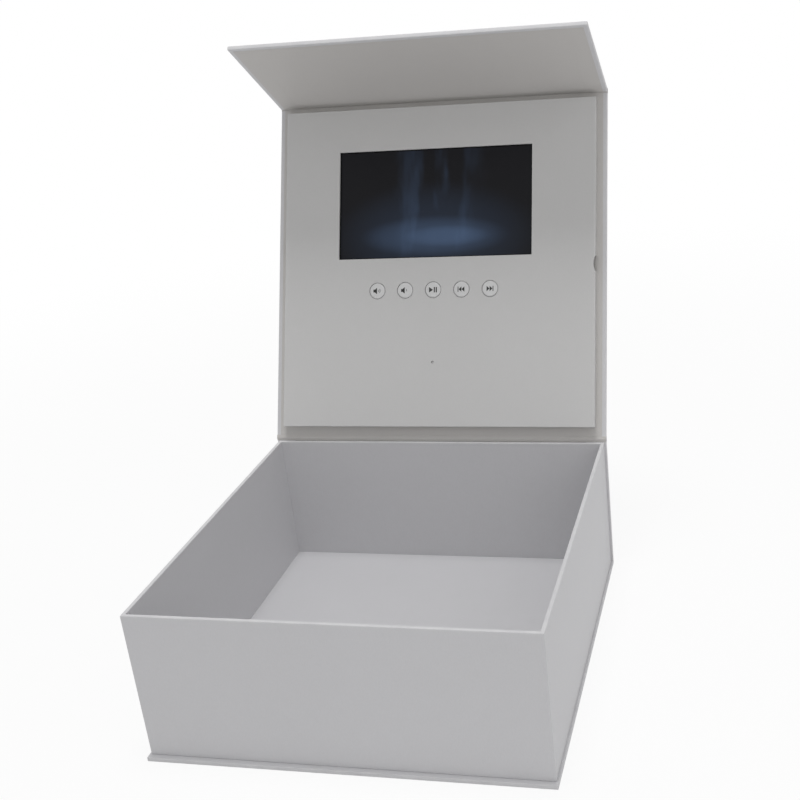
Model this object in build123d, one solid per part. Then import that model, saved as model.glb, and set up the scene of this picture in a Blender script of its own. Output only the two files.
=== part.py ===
from build123d import *

import os
from math import cos, hypot, radians, sin

# A book-style presentation box with a video player in its lid. A paper-covered tray is glued
# into a case of four hinged boards: base, spine, lid and front flap. The lid leans back, open,
# and carries a raised panel with a 7-inch screen and five push buttons.
#
# Millimetres. +X is to the viewer's right, +Y towards the spine at the back, +Z up.
# The origin is the middle of the tray, on the table.
#
# Lid and flap pieces are drawn flat, in the panel's own frame, and then set at its angle:
# u across (= X), v away from the panel's hinge axis, w out of its inner face, with w = 0 in
# the middle of the board.

# ---------------------------------------------------------------- driving dimensions
COVER_WIDTH = 262.0        # case boards, over the paper
TRAY_WIDTH = 259.0         # tray, outside, over the paper
TRAY_DEPTH = 259.0
RIM_HEIGHT = 104.0         # table to the tray's rim
FLAP_LENGTH = 102.4        # flap hinge axis to the flap's free edge

COVER_BOARD = 2.5          # greyboard of the case
TRAY_BOARD = 2.0           # greyboard of the tray
PAPER = 0.2                # printed covering paper with its glue
LINING = 0.15              # inside lining sheet
STAY_TAPE = 0.15           # paper tape round the tray's corners
TURN_IN = 15.0             # how far the covering paper is folded round an edge
LINING_MARGIN = 3.0        # lining's edge from the board's edge

HINGE_GAP = 2.0            # hinge axis to the edge of each board it joins
FRONT_GAP = 0.5            # closed flap to the tray's front
LID_LEAN = 24.3            # lid behind the vertical, as it stands open
FLAP_RISE = 33.8           # flap above the horizontal, pointing forwards

# raised panel on the lid
PANEL_MARGIN = 7.75        # lid's side edge to the panel
PANEL_BOTTOM = 8.5         # lid hinge axis to the panel's lower edge
PANEL_TOP = 256.5
PANEL_CAVITY = 4.8         # height of the frame strips round the electronics
PANEL_FACE = 1.5           # board of the panel's front
FRAME_STRIP = 8.0          # width of the frame strips

# screen, buttons and light sensor, on one line a little left of the middle
MODULE_U = -2.0
SCREEN_V = 181.0
WINDOW_WIDTH = 153.6       # 7-inch, 16:9
WINDOW_HEIGHT = 84.4
BUTTON_V = 113.6
BUTTON_PITCH = 22.4
SENSOR_V = 58.0
PINHOLE_D = 2.0
BUTTON_NAMES = ("volume_up", "volume_down", "play_pause", "previous", "next")

BUTTON_HOLE_D = 13.4
CAP_D = 12.2
CAP_PROUD = 0.3            # cap above the panel's paper
CAP_FLANGE_D = 15.0
CAP_FLANGE = 0.6
FLANGE_PLAY = 0.1          # flange to the panel board it is held under
BUTTON_TRAVEL = 0.4
PLUNGER_D = 3.5
PLUNGER_PLAY = 0.15        # round the plunger, in its switch
SWITCH_SIZE = 6.0
SWITCH_HEIGHT = 2.2

LCD_WIDTH = 165.0
LCD_HEIGHT = 100.0
LCD_DEPTH = 3.0
LCD_SHEET = 0.4            # pressed steel of the screen's frame
LCD_LIP = 0.2              # its front edge, over the glass
LIGHT_GUIDE = 1.2
LCD_SLACK = 0.3            # glass to the inside of that frame
LCD_VIEW = 1.5             # frame's opening past the panel's window
CIRCUIT_BOARD = 1.0
PROCESSOR = 1.2
BATTERY = 3.5
SPEAKER_R = 18.0

MAGNET_D = 12.0
MAGNET = 1.6
MAGNET_PLAY = 0.1
MAGNET_U = 85.0            # each side of the middle
MAGNET_V = 82.0            # flap hinge axis to the magnets

NOTCH_LENGTH = 12.0        # half-moon for the charging plug in the panel's right edge
NOTCH_DEPTH = 1.5
NOTCH_V = 131.0
LAMP_V = 122.8             # charging lamp, behind a small hole below the notch
LAMP_HOLE_D = 1.4
LAMP_HEIGHT = 0.9

LEAD_WIDTH = 2.2           # flat two-wire lead
LEAD_THICK = 1.0
LEAD_BEND = 4.0
RIBBON = 0.15
RIBBON_BEND = 4.0

# ---------------------------------------------------------------- levels worked out from them
HALF_COVER = COVER_WIDTH / 2
HALF_BOARD = COVER_BOARD / 2
OUTER_FACE = HALF_BOARD + PAPER                 # middle of a case board to its outer paper
INNER_FACE = HALF_BOARD + PAPER + LINING        # and to its lining
BASE_TOP = COVER_BOARD + 2 * PAPER
TRAY_BOARD_Z = BASE_TOP + PAPER                 # underside of the tray's boards
FLOOR_Z = TRAY_BOARD_Z + TRAY_BOARD
TRAY_BOARD_TOP = RIM_HEIGHT - PAPER
HALF_TRAY_W = TRAY_WIDTH / 2
HALF_TRAY_D = TRAY_DEPTH / 2
SKIN = PAPER + STAY_TAPE                        # outside of the tray to its boards
WALL = SKIN + TRAY_BOARD + PAPER                # whole thickness of a tray wall

LID_AXIS_Y = HALF_TRAY_D + PAPER + HALF_BOARD
LID_AXIS_Z = RIM_HEIGHT + HINGE_GAP
CLOSED_FLAP_Y = -HALF_TRAY_D - FRONT_GAP - INNER_FACE
LID_LENGTH = LID_AXIS_Y - CLOSED_FLAP_Y         # lid hinge axis to flap hinge axis
BASE_FRONT = CLOSED_FLAP_Y - OUTER_FACE         # flush with the closed flap

LID_HEADING = 90.0 - LID_LEAN                   # angles from +Y towards +Z
FLAP_HEADING = 180.0 - FLAP_RISE
FLAP_AXIS_Y = LID_AXIS_Y + LID_LENGTH * cos(radians(LID_HEADING))
FLAP_AXIS_Z = LID_AXIS_Z + LID_LENGTH * sin(radians(LID_HEADING))

HALF_PANEL = HALF_COVER - PANEL_MARGIN
FACE_BACK = INNER_FACE + PANEL_CAVITY           # underside of the panel's front board
FACE_FRONT = FACE_BACK + PANEL_FACE
PANEL_SURFACE = FACE_FRONT + PAPER

CAP_TOP = PANEL_SURFACE + CAP_PROUD
FLANGE_TOP = FACE_BACK - FLANGE_PLAY
FLANGE_BACK = FLANGE_TOP - CAP_FLANGE
BOARD_FRONT = INNER_FACE + CIRCUIT_BOARD        # front of every circuit board in the panel
SWITCH_TOP = BOARD_FRONT + SWITCH_HEIGHT
LCD_FRONT = FACE_BACK - 0.1
LCD_BACK = LCD_FRONT - LCD_DEPTH
BUTTON_U = [MODULE_U + BUTTON_PITCH * (i - 2) for i in range(len(BUTTON_NAMES))]

SPEAKER_SEAT = INNER_FACE + 1.8
SPEAKER_RIM = FACE_BACK - 0.8
BATTERY_TOP = INNER_FACE + BATTERY
LEAD_W = BOARD_FRONT + 1.0
GUIDE_BACK = LCD_BACK + LCD_SHEET
GUIDE_TOP = GUIDE_BACK + LIGHT_GUIDE

# places of the inner pieces, in u and v
MAIN_BOARD_AT = ((-100.0, 6.0), (30.0, 78.0))
PROCESSOR_AT = ((-69.0, -55.0), (45.0, 59.0))
BUTTON_BOARD_AT = ((MODULE_U - 59.0, MODULE_U + 59.0), (BUTTON_V - 7.0, BUTTON_V + 7.0))
CHARGE_BOARD_AT = ((98.0, 119.0), (NOTCH_V - 5.5, NOTCH_V + 5.5))
CHARGE_TAIL_AT = ((98.0, 114.5), (120.0, CHARGE_BOARD_AT[1][0]))
BATTERY_AT = ((14.0, 70.0), (32.0, 82.0))
BATTERY_STRIP = 2.0
SPEAKER_AT = (93.0, 52.0)
SPEAKER_TAG_V = SPEAKER_AT[1] + 19.0            # end of the speaker's terminal block
WELL = ((-101.0, 112.5), (21.0, 98.0))          # the foam's open well for the lower pieces
CONNECTOR_U = 3.5                               # side of the connectors that the leads leave
GAP_U = 10.0                                    # leads between player board and battery
BATTERY_PLUG_V = 45.0
SPEAKER_PLUG_V = 66.0
CHARGE_PLUG_U = -6.5
CHARGE_PLUG_V = 74.0
CHARGE_LEAD_U = 104.0
CHARGE_LEAD_V = 121.0                           # where it reaches the charging board's plug
RIBBON_PLUG_V = 74.5
SCREEN_RIBBON_U = (-91.0, -73.0)
BUTTON_RIBBON_U = (-39.0, -33.0)


# ---------------------------------------------------------------- helpers
def block(u, v, w):
    """A box that fills three (low, high) spans."""
    middle = [(span[0] + span[1]) / 2 for span in (u, v, w)]
    size = [span[1] - span[0] for span in (u, v, w)]
    return Pos(*middle) * Box(*size)


def about(middle, size):
    """The span of a given size about its middle."""
    return (middle - size / 2, middle + size / 2)


def grown(span, by):
    """A span made longer at both ends."""
    return (span[0] - by, span[1] + by)


def disc(u, v, diameter, w):
    """A round plate or pin along w."""
    return Pos(u, v, (w[0] + w[1]) / 2) * Cylinder(diameter / 2, w[1] - w[0])


def turned(u, v, profile):
    """A closed (radius, w) outline revolved about the line through (u, v) along w."""
    face = make_face(Polyline(*[(r, 0, w) for r, w in profile], close=True))
    return Pos(u, v, 0) * revolve(face, Axis.Z, 360)


def ring(outer, inner, w):
    """A frame between two rectangles, each an (u span, v span) pair."""
    return block(*outer, w) - block(*inner, w)


def heading_plane(y, z, heading):
    """The frame of a case board whose v points at this angle from +Y towards +Z."""
    tilt = radians(heading)
    return Plane(origin=(0, y, z), x_dir=(1, 0, 0), z_dir=(0, -sin(tilt), cos(tilt)))


BASE = heading_plane(0, OUTER_FACE, 0)
SPINE = heading_plane(LID_AXIS_Y, 0, 90)
LID = heading_plane(LID_AXIS_Y, LID_AXIS_Z, LID_HEADING)
FLAP = heading_plane(FLAP_AXIS_Y, FLAP_AXIS_Z, FLAP_HEADING)

CORE_W = (-HALF_BOARD, HALF_BOARD)
FAR = 10.0                 # how far a cut runs past what it cuts


# ---------------------------------------------------------------- the case: boards and papers
def case_board(v):
    """Greyboard of one case panel, inside its paper."""
    return block(about(0, COVER_WIDTH - 2 * PAPER), v, CORE_W)


def case_wrap(v, free_start=False, free_end=False):
    """Covering paper of one panel: outer face, side edges, free edges, and the turned-in strip."""
    core_v = (v[0] + PAPER if free_start else v[0] - FAR, v[1] - PAPER if free_end else v[1] + FAR)
    open_v = (v[0] + TURN_IN if free_start else v[0] - FAR, v[1] - TURN_IN if free_end else v[1] + FAR)
    sheet = block(about(0, COVER_WIDTH), v, (-OUTER_FACE, OUTER_FACE))
    core = block(about(0, COVER_WIDTH - 2 * PAPER), core_v, CORE_W)
    opening = block(about(0, COVER_WIDTH - 2 * TURN_IN), open_v, (0, OUTER_FACE + FAR))
    return sheet - core - opening


def case_lining(v, free_end=False):
    """Inside sheet: it lies on the board between the turned-in strips, and overlaps them."""
    low = block(
        about(0, COVER_WIDTH - 2 * TURN_IN),
        (v[0], v[1] - TURN_IN + LINING_MARGIN if free_end else v[1]),
        (HALF_BOARD, OUTER_FACE),
    )
    high = block(about(0, COVER_WIDTH - 2 * LINING_MARGIN), v, (OUTER_FACE, INNER_FACE))
    return low + high


def hinge_papers(axis_y, axis_z, before, after):
    """The inner and outer paper hinge between two boards, as loops about the hinge axis.

    before and after are the headings of the two boards. Each loop is cut off flat on the
    boards' edges, where it runs on into the panels' papers."""
    loop_r = hypot(HINGE_GAP, OUTER_FACE)
    centre = heading_plane(axis_y, axis_z, 0)
    tube = Circle(loop_r) - Circle(loop_r - PAPER)
    loop = centre * (Rot(0, 90, 0) * extrude(tube, COVER_WIDTH / 2, both=True))
    past_board = block(about(0, COVER_WIDTH + FAR), (HINGE_GAP, HINGE_GAP + FAR), (-FAR, FAR))
    loop = loop - heading_plane(axis_y, axis_z, before + 180) * past_board
    loop = loop - heading_plane(axis_y, axis_z, after) * past_board
    inwards = heading_plane(axis_y, axis_z, (before + after) / 2).z_dir
    papers = sorted(loop.solids(), key=lambda s: (s.center() - Vector(0, axis_y, axis_z)).dot(inwards))
    return papers[-1], papers[0]


def base_wrap():
    """Base paper, as far as it lies flat. Behind the board it runs on under the spine's edge."""
    return block(about(0, COVER_WIDTH), (BASE_FRONT, LID_AXIS_Y + OUTER_FACE), (0, PAPER))


def base_turn_in():
    """The same paper past its first fold: up the board's edges and in over its top."""
    sheet = BASE * case_wrap((BASE_FRONT, HALF_TRAY_D), free_start=True)
    return sheet - base_wrap()


# ---------------------------------------------------------------- the tray
def tray_rect(inset):
    """The tray's outline, drawn in by the same amount all round."""
    return (about(0, TRAY_WIDTH - 2 * inset), about(0, TRAY_DEPTH - 2 * inset))


def wall_board(heading):
    """One wall. The side walls run the whole depth, the front and back fit between them."""
    wall_z = (TRAY_BOARD_Z, TRAY_BOARD_TOP)
    side = heading in ("left", "right")
    reach = (HALF_TRAY_W if side else HALF_TRAY_D) - SKIN
    thick = (reach - TRAY_BOARD, reach)
    if heading in ("left", "front"):
        thick = (-thick[1], -thick[0])
    if side:
        return block(thick, about(0, TRAY_DEPTH - 2 * SKIN), wall_z)
    return block(about(0, TRAY_WIDTH - 2 * SKIN - 2 * TRAY_BOARD), thick, wall_z)


def tray_magnet(sign, diameter, depth):
    """A disc on the front wall's outer side, where the closed flap's magnet comes."""
    front = -HALF_TRAY_D + SKIN
    height = LID_AXIS_Z - MAGNET_V
    lying = Rot(90, 0, 0) * Cylinder(diameter / 2, depth)
    return Pos(sign * MAGNET_U, front + depth / 2, height) * lying


def tray_front_board():
    """The front wall, with a blind seat for each magnet."""
    board = wall_board("front")
    for sign in (-1, 1):
        board -= tray_magnet(sign, MAGNET_D + 2 * MAGNET_PLAY, MAGNET)
    return board


def corner_stays():
    """Paper tape folded round the four upright corners, under the wrap."""
    leg = 20.0
    height = (TRAY_BOARD_Z, TRAY_BOARD_TOP)
    outer = tray_rect(PAPER)
    band = ring(outer, tray_rect(SKIN), height)
    for across in (
        (about(0, TRAY_WIDTH - 2 * leg), about(0, TRAY_DEPTH + FAR)),
        (about(0, TRAY_WIDTH + FAR), about(0, TRAY_DEPTH - 2 * leg)),
    ):
        band -= block(*across, height)
    return band


def tray_wrap():
    """Covering paper: up the outside, over the rim, down the inside and turned under the floor."""
    outside = ring(tray_rect(0), tray_rect(PAPER), (BASE_TOP, RIM_HEIGHT))
    rim = ring(tray_rect(0), tray_rect(WALL), (TRAY_BOARD_TOP, RIM_HEIGHT))
    inside = ring(tray_rect(WALL - PAPER), tray_rect(WALL), (FLOOR_Z, RIM_HEIGHT))
    under = ring(tray_rect(0), tray_rect(TURN_IN), (BASE_TOP, TRAY_BOARD_Z))
    return outside + rim + inside + under


def tray_pieces():
    """Everything that stands still: base, spine and tray."""
    floor_rect = tray_rect(SKIN + TRAY_BOARD)
    liner_rect = tray_rect(WALL)
    base_v = (BASE_FRONT + PAPER, HALF_TRAY_D)
    spine_v = (PAPER, RIM_HEIGHT)
    return {
        "base_board": BASE * case_board(base_v),
        "base_wrap": base_wrap(),
        "base_turn_in": base_turn_in(),
        "spine_board": SPINE * case_board(spine_v),
        "spine_wrap": SPINE * case_wrap(spine_v),
        "tray_floor_board": block(*floor_rect, (TRAY_BOARD_Z, FLOOR_Z)),
        "tray_front_board": tray_front_board(),
        "tray_back_board": wall_board("back"),
        "tray_left_board": wall_board("left"),
        "tray_right_board": wall_board("right"),
        "tray_magnets": tray_magnet(-1, MAGNET_D, MAGNET) + tray_magnet(1, MAGNET_D, MAGNET),
        "corner_stays": corner_stays(),
        "tray_wrap": tray_wrap(),
        "floor_liner": block(*liner_rect, (FLOOR_Z, FLOOR_Z + PAPER)),
    }


# ---------------------------------------------------------------- the raised panel
PANEL_U = (-HALF_PANEL, HALF_PANEL)
PANEL_V = (PANEL_BOTTOM, PANEL_TOP)
INNER_PANEL = (grown(PANEL_U, -PAPER - FRAME_STRIP), grown(PANEL_V, -PAPER - FRAME_STRIP))
WINDOW = (about(MODULE_U, WINDOW_WIDTH), about(SCREEN_V, WINDOW_HEIGHT))


def button_holes(diameter, w):
    """Five discs on the button line."""
    return Part() + [disc(u, BUTTON_V, diameter, w) for u in BUTTON_U]


def plug_notch():
    """Half-moon cut from the panel's right edge, so that the charging plug can reach its socket."""
    radius = (NOTCH_LENGTH ** 2 / 4 + NOTCH_DEPTH ** 2) / (2 * NOTCH_DEPTH)
    w = (INNER_FACE, PANEL_SURFACE)
    return disc(HALF_PANEL - NOTCH_DEPTH + radius, NOTCH_V, 2 * radius, w)


def lamp_hole():
    """Bore through the panel's right side, in front of the charging lamp."""
    reach = FRAME_STRIP + FAR
    bore = Rot(0, 90, 0) * Cylinder(LAMP_HOLE_D / 2, reach)
    return Pos(HALF_PANEL + 1 - reach / 2, LAMP_V, BOARD_FRONT + LAMP_HEIGHT / 2) * bore


def panel_frame():
    """Board strips round the electronics, open behind the charging socket."""
    outer = (grown(PANEL_U, -PAPER), grown(PANEL_V, -PAPER))
    strips = ring(outer, INNER_PANEL, (INNER_FACE, FACE_BACK))
    socket_bay = block(
        (INNER_PANEL[0][1] - 1, HALF_PANEL),
        about(NOTCH_V, NOTCH_LENGTH),
        (INNER_FACE, FACE_BACK),
    )
    return strips - socket_bay - lamp_hole()


def panel_face():
    """Front board with the window, the button holes and the sensor's pinhole."""
    w = (FACE_BACK, FACE_FRONT)
    board = block(grown(PANEL_U, -PAPER), grown(PANEL_V, -PAPER), w)
    board -= block(grown(WINDOW[0], PAPER), grown(WINDOW[1], PAPER), w)
    board -= button_holes(BUTTON_HOLE_D, w)
    board -= disc(MODULE_U, SENSOR_V, PINHOLE_D, w)
    return board - plug_notch()


def panel_wrap():
    """Covering paper over the front, down the four sides, and folded through the window."""
    skin = block(PANEL_U, PANEL_V, (INNER_FACE, PANEL_SURFACE))
    skin -= block(grown(PANEL_U, -PAPER), grown(PANEL_V, -PAPER), (INNER_FACE, FACE_FRONT))
    edge = ring((grown(WINDOW[0], PAPER), grown(WINDOW[1], PAPER)), WINDOW, (FACE_BACK, FACE_FRONT))
    w = (FACE_BACK, PANEL_SURFACE)
    skin = skin + edge - block(*WINDOW, w)
    skin -= button_holes(BUTTON_HOLE_D, w)
    skin -= disc(MODULE_U, SENSOR_V, PINHOLE_D, w)
    return skin - plug_notch() - lamp_hole()


def foam_spacer():
    """Foam sheet that fills the frame, with a pocket for each piece and a floor under the screen."""
    w = (INNER_FACE, FACE_BACK)
    slack = 0.5
    screen = (about(MODULE_U, LCD_WIDTH + slack), about(SCREEN_V, LCD_HEIGHT + slack))
    buttons = (grown(BUTTON_BOARD_AT[0], slack), grown(BUTTON_BOARD_AT[1], 2.0))
    charger = (
        (CHARGE_BOARD_AT[0][0] - slack, INNER_PANEL[0][1]),
        (CHARGE_TAIL_AT[1][0] - slack, CHARGE_BOARD_AT[1][1] + slack),
    )
    channels = [
        (grown(SCREEN_RIBBON_U, 1.5), (WELL[1][1] - slack, screen[1][0] + slack)),
        (grown(BUTTON_RIBBON_U, 1.5), (WELL[1][1] - slack, buttons[1][0] + slack)),
        (about(CHARGE_LEAD_U, LEAD_WIDTH + 3), (WELL[1][1] - slack, charger[1][0] + slack)),
    ]
    foam = block(*INNER_PANEL, w) - block(*screen, (LCD_BACK, FACE_BACK))
    for pocket in [WELL, buttons, charger, *channels]:
        foam -= block(*pocket, w)
    return foam


def foam_pads():
    """Soft pads that fill the space from the battery and the processor up to the panel's face."""
    on_battery = block(grown(BATTERY_AT[0], -12), grown(BATTERY_AT[1], -12), (BATTERY_TOP, FACE_BACK))
    on_processor = block(*PROCESSOR_AT, (BOARD_FRONT + PROCESSOR, FACE_BACK))
    return on_battery + on_processor


# ---------------------------------------------------------------- electronics in the panel
def lcd_outline(inset):
    """The screen module's outline, drawn in all round."""
    return (about(MODULE_U, LCD_WIDTH - 2 * inset), about(SCREEN_V, LCD_HEIGHT - 2 * inset))


def lcd_frame():
    """Pressed pan that holds the light guide and the glass, open to the front."""
    pan = block(*lcd_outline(0), (LCD_BACK, LCD_FRONT))
    pan = fillet(pan.edges().filter_by(Axis.Z), 1.5)
    pan -= block(*lcd_outline(LCD_SHEET), (GUIDE_BACK, LCD_FRONT - LCD_LIP))
    view = (grown(WINDOW[0], LCD_VIEW), grown(WINDOW[1], LCD_VIEW))
    return pan - block(*view, (LCD_FRONT - LCD_LIP, LCD_FRONT))


def light_guide():
    """Backlight plate behind the glass, stepped down along the edge where its lamps sit."""
    outline = lcd_outline(LCD_SHEET + LCD_SLACK)
    plate = block(*outline, (GUIDE_BACK, GUIDE_TOP))
    lamp_edge = (outline[1][0], outline[1][0] + 4)
    return plate - block(outline[0], lamp_edge, (GUIDE_BACK + LIGHT_GUIDE / 2, GUIDE_TOP))


def lcd_glass():
    """The liquid crystal cell, one thick pane on the light guide."""
    return block(*lcd_outline(LCD_SHEET + LCD_SLACK), (GUIDE_TOP, LCD_FRONT - LCD_LIP - 0.05))


def main_board():
    """Player board with four fixing holes."""
    w = (INNER_FACE, BOARD_FRONT)
    holes = [disc(u, v, 2.4, w) for u in grown(MAIN_BOARD_AT[0], -4) for v in grown(MAIN_BOARD_AT[1], -4)]
    return block(*MAIN_BOARD_AT, w) - (Part() + holes)


def board_chips():
    """Packages and plug-in connectors on the player board, and the charging board's connector."""
    flat, tall = 0.9, 3.2
    edge = (CONNECTOR_U - 5, CONNECTOR_U)
    packages = [
        (*PROCESSOR_AT, PROCESSOR),
        (about(-38, 12), about(52, 18), 1.0),                      # flash memory
        (about(-18, 5), about(44, 4), 1.0),                        # sound amplifier
        (about(-88, 5), about(44, 3.2), 1.1),                      # crystal
        (about(-78, 8), about(36, 6), 1.2),                        # power converter
        (grown(SCREEN_RIBBON_U, 1), (RIBBON_PLUG_V - 4, RIBBON_PLUG_V), flat),
        (grown(BUTTON_RIBBON_U, 1), (RIBBON_PLUG_V - 4, RIBBON_PLUG_V), flat),
        (edge, about(BATTERY_PLUG_V, 7), tall),
        (edge, about(SPEAKER_PLUG_V, 7), tall),
        (about(CHARGE_PLUG_U, 6), (CHARGE_PLUG_V - 4, CHARGE_PLUG_V), tall),
        (about(CHARGE_LEAD_U, 6), (CHARGE_LEAD_V, CHARGE_LEAD_V + 4), tall),
    ]
    return Part() + [block(u, v, (BOARD_FRONT, BOARD_FRONT + height)) for u, v, height in packages]


def light_sensor():
    """Round sensor with a tapered tip, just under the pinhole."""
    radius = 1.5
    body = disc(MODULE_U, SENSOR_V, 2 * radius, (BOARD_FRONT, FACE_BACK - 0.2))
    return chamfer(body.edges().sort_by(Axis.Z)[-1], 0.4 * radius)


def tact_switches():
    """Five square switches, each with a round well for its plunger."""
    switches = []
    for u in BUTTON_U:
        body = block(about(u, SWITCH_SIZE), about(BUTTON_V, SWITCH_SIZE), (BOARD_FRONT, SWITCH_TOP))
        body = chamfer(body.edges().filter_by(Axis.Z), 0.4)
        well = (BOARD_FRONT + 0.6, SWITCH_TOP)
        switches.append(body - disc(u, BUTTON_V, PLUNGER_D + 2 * PLUNGER_PLAY, well))
    return Part() + switches


def battery():
    """Flat pouch cell with rounded long edges and its terminal strip folded on one end."""
    cell = block(*BATTERY_AT, (INNER_FACE, BATTERY_TOP))
    cell = fillet(cell.edges().filter_by(Axis.Y), 1.2)
    strip_v = (BATTERY_AT[1][0] - BATTERY_STRIP, BATTERY_AT[1][0])
    return cell + block(grown(BATTERY_AT[0], -6), strip_v, about(LEAD_W, 2.0))


def speaker_magnet():
    """Round magnet pot under the speaker."""
    pot = disc(*SPEAKER_AT, 18.0, (INNER_FACE, SPEAKER_SEAT))
    return chamfer(pot.edges().sort_by(Axis.Z)[0], 0.4)


def speaker_frame():
    """Pressed basket with a flat rim, and a terminal block under the rim."""
    sheet = 0.5
    basket = turned(*SPEAKER_AT, [
        (0, SPEAKER_SEAT), (10.5, SPEAKER_SEAT), (16.0, SPEAKER_RIM - sheet), (SPEAKER_R, SPEAKER_RIM - sheet),
        (SPEAKER_R, SPEAKER_RIM), (15.8, SPEAKER_RIM), (10.3, SPEAKER_SEAT + sheet), (0, SPEAKER_SEAT + sheet),
    ])
    terminals = block(about(SPEAKER_AT[0], 14), (SPEAKER_TAG_V - 2.8, SPEAKER_TAG_V), (3.0, SPEAKER_RIM - sheet))
    return basket + terminals


def speaker_cone():
    """Paper cone with a dome in its middle, and its edge on the basket's rim."""
    rim, sheet = SPEAKER_RIM, 0.2
    under = [(0, rim - 0.5), (6.0, rim - 1.1), (15.5, rim), (17.5, rim)]
    over = [(r, w + sheet) for r, w in reversed(under)]
    return turned(*SPEAKER_AT, under + over)


def charge_board():
    """Board under the charging socket, with a narrower tail for the lamp and the lead's plug."""
    w = (INNER_FACE, BOARD_FRONT)
    return block(*CHARGE_BOARD_AT, w) + block(*CHARGE_TAIL_AT, w)


def charge_lamp():
    """Small lamp at the tail's edge, which shines out through its hole."""
    edge = CHARGE_TAIL_AT[0][1]
    return block((edge - 1.6, edge), about(LAMP_V, 1.6), (BOARD_FRONT, BOARD_FRONT + LAMP_HEIGHT))


def usb_socket():
    """Charging socket: a folded steel shell with two cut-off corners, and its tongue."""
    depth, width, height, sheet = 5.4, 7.6, 2.6, 0.3
    mouth = HALF_PANEL - NOTCH_DEPTH
    shell = block((mouth - depth, mouth), about(NOTCH_V, width), (BOARD_FRONT, BOARD_FRONT + height))
    shell = chamfer(shell.edges().filter_by(Axis.X).group_by(Axis.Z)[-1], 0.8)
    inside = block(
        (mouth - depth + sheet, mouth),
        about(NOTCH_V, width - 2 * sheet),
        (BOARD_FRONT + sheet, BOARD_FRONT + height - sheet),
    )
    inside = chamfer(inside.edges().filter_by(Axis.X).group_by(Axis.Z)[-1], 0.7)
    tongue = block((mouth - depth + sheet, mouth - 0.8), about(NOTCH_V, 3.6), about(BOARD_FRONT + height / 2, 0.6))
    return shell - inside + tongue


def ribbon(u, path):
    """Flat cable: a thin band through (v, w) points, bent round each of them."""
    line = FilletPolyline(*[(sum(u) / 2, v, w) for v, w in path], radius=RIBBON_BEND)
    start = Plane(origin=line @ 0, x_dir=(1, 0, 0), z_dir=line % 0)
    return sweep(start * Rectangle(u[1] - u[0], RIBBON), line)


def flat_cables():
    """Ribbons from the screen's lower edge and from the button board to the player board."""
    plug_w = BOARD_FRONT + 0.45
    screen_w = (LCD_BACK + LCD_FRONT) / 2 - 0.4
    button_w = (INNER_FACE + BOARD_FRONT) / 2
    to_screen = [(RIBBON_PLUG_V, plug_w), (84, plug_w), (91, screen_w), (SCREEN_V - LCD_HEIGHT / 2, screen_w)]
    to_buttons = [(RIBBON_PLUG_V, plug_w), (84, plug_w), (91, button_w), (BUTTON_BOARD_AT[1][0], button_w)]
    return ribbon(SCREEN_RIBBON_U, to_screen) + ribbon(BUTTON_RIBBON_U, to_buttons)


def lead(*path):
    """Flat two-wire lead along straight runs joined by arcs, all at one height."""
    line = FilletPolyline(*[(u, v, LEAD_W) for u, v in path], radius=LEAD_BEND)
    start = Plane(origin=line @ 0, x_dir=(0, 0, 1), z_dir=line % 0)
    return sweep(start * Rectangle(LEAD_THICK, LEAD_WIDTH), line)


def battery_leads():
    """From the player board down to the battery's terminal strip."""
    end_u = BATTERY_AT[0][0] + 13
    strip_v = BATTERY_AT[1][0] - BATTERY_STRIP
    run_v = strip_v - LEAD_BEND - 1
    start = (CONNECTOR_U, BATTERY_PLUG_V)
    return lead(start, (GAP_U, BATTERY_PLUG_V), (GAP_U, run_v), (end_u, run_v), (end_u, strip_v))


def speaker_leads():
    """From the player board past the battery to the speaker's terminals."""
    end_u = SPEAKER_AT[0]
    run_v = BATTERY_AT[1][1] + 4.5
    start = (CONNECTOR_U, SPEAKER_PLUG_V)
    return lead(start, (GAP_U, SPEAKER_PLUG_V), (GAP_U, run_v), (end_u, run_v), (end_u, SPEAKER_TAG_V))


def charge_leads():
    """From the charging board along the top of the well to the player board."""
    run_v = WELL[1][1] - 4
    start = (CHARGE_PLUG_U, CHARGE_PLUG_V)
    return lead(start, (CHARGE_PLUG_U, run_v), (CHARGE_LEAD_U, run_v), (CHARGE_LEAD_U, CHARGE_LEAD_V))


# ---------------------------------------------------------------- buttons
def button_cap(u):
    """Round cap, a little proud of the panel, held under it by a wider flange."""
    flange = disc(u, BUTTON_V, CAP_FLANGE_D, (FLANGE_BACK, FLANGE_TOP))
    cap = disc(u, BUTTON_V, CAP_D, (FLANGE_BACK, CAP_TOP))
    cap = chamfer(cap.edges().sort_by(Axis.Z)[-1], CAP_PROUD)
    return cap + flange


def plunger(u):
    """The switch's own stem, under the cap."""
    stem = disc(u, BUTTON_V, PLUNGER_D, (SWITCH_TOP - 2 * BUTTON_TRAVEL, FLANGE_BACK))
    return chamfer(stem.edges().sort_by(Axis.Z)[0], 0.3)


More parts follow.
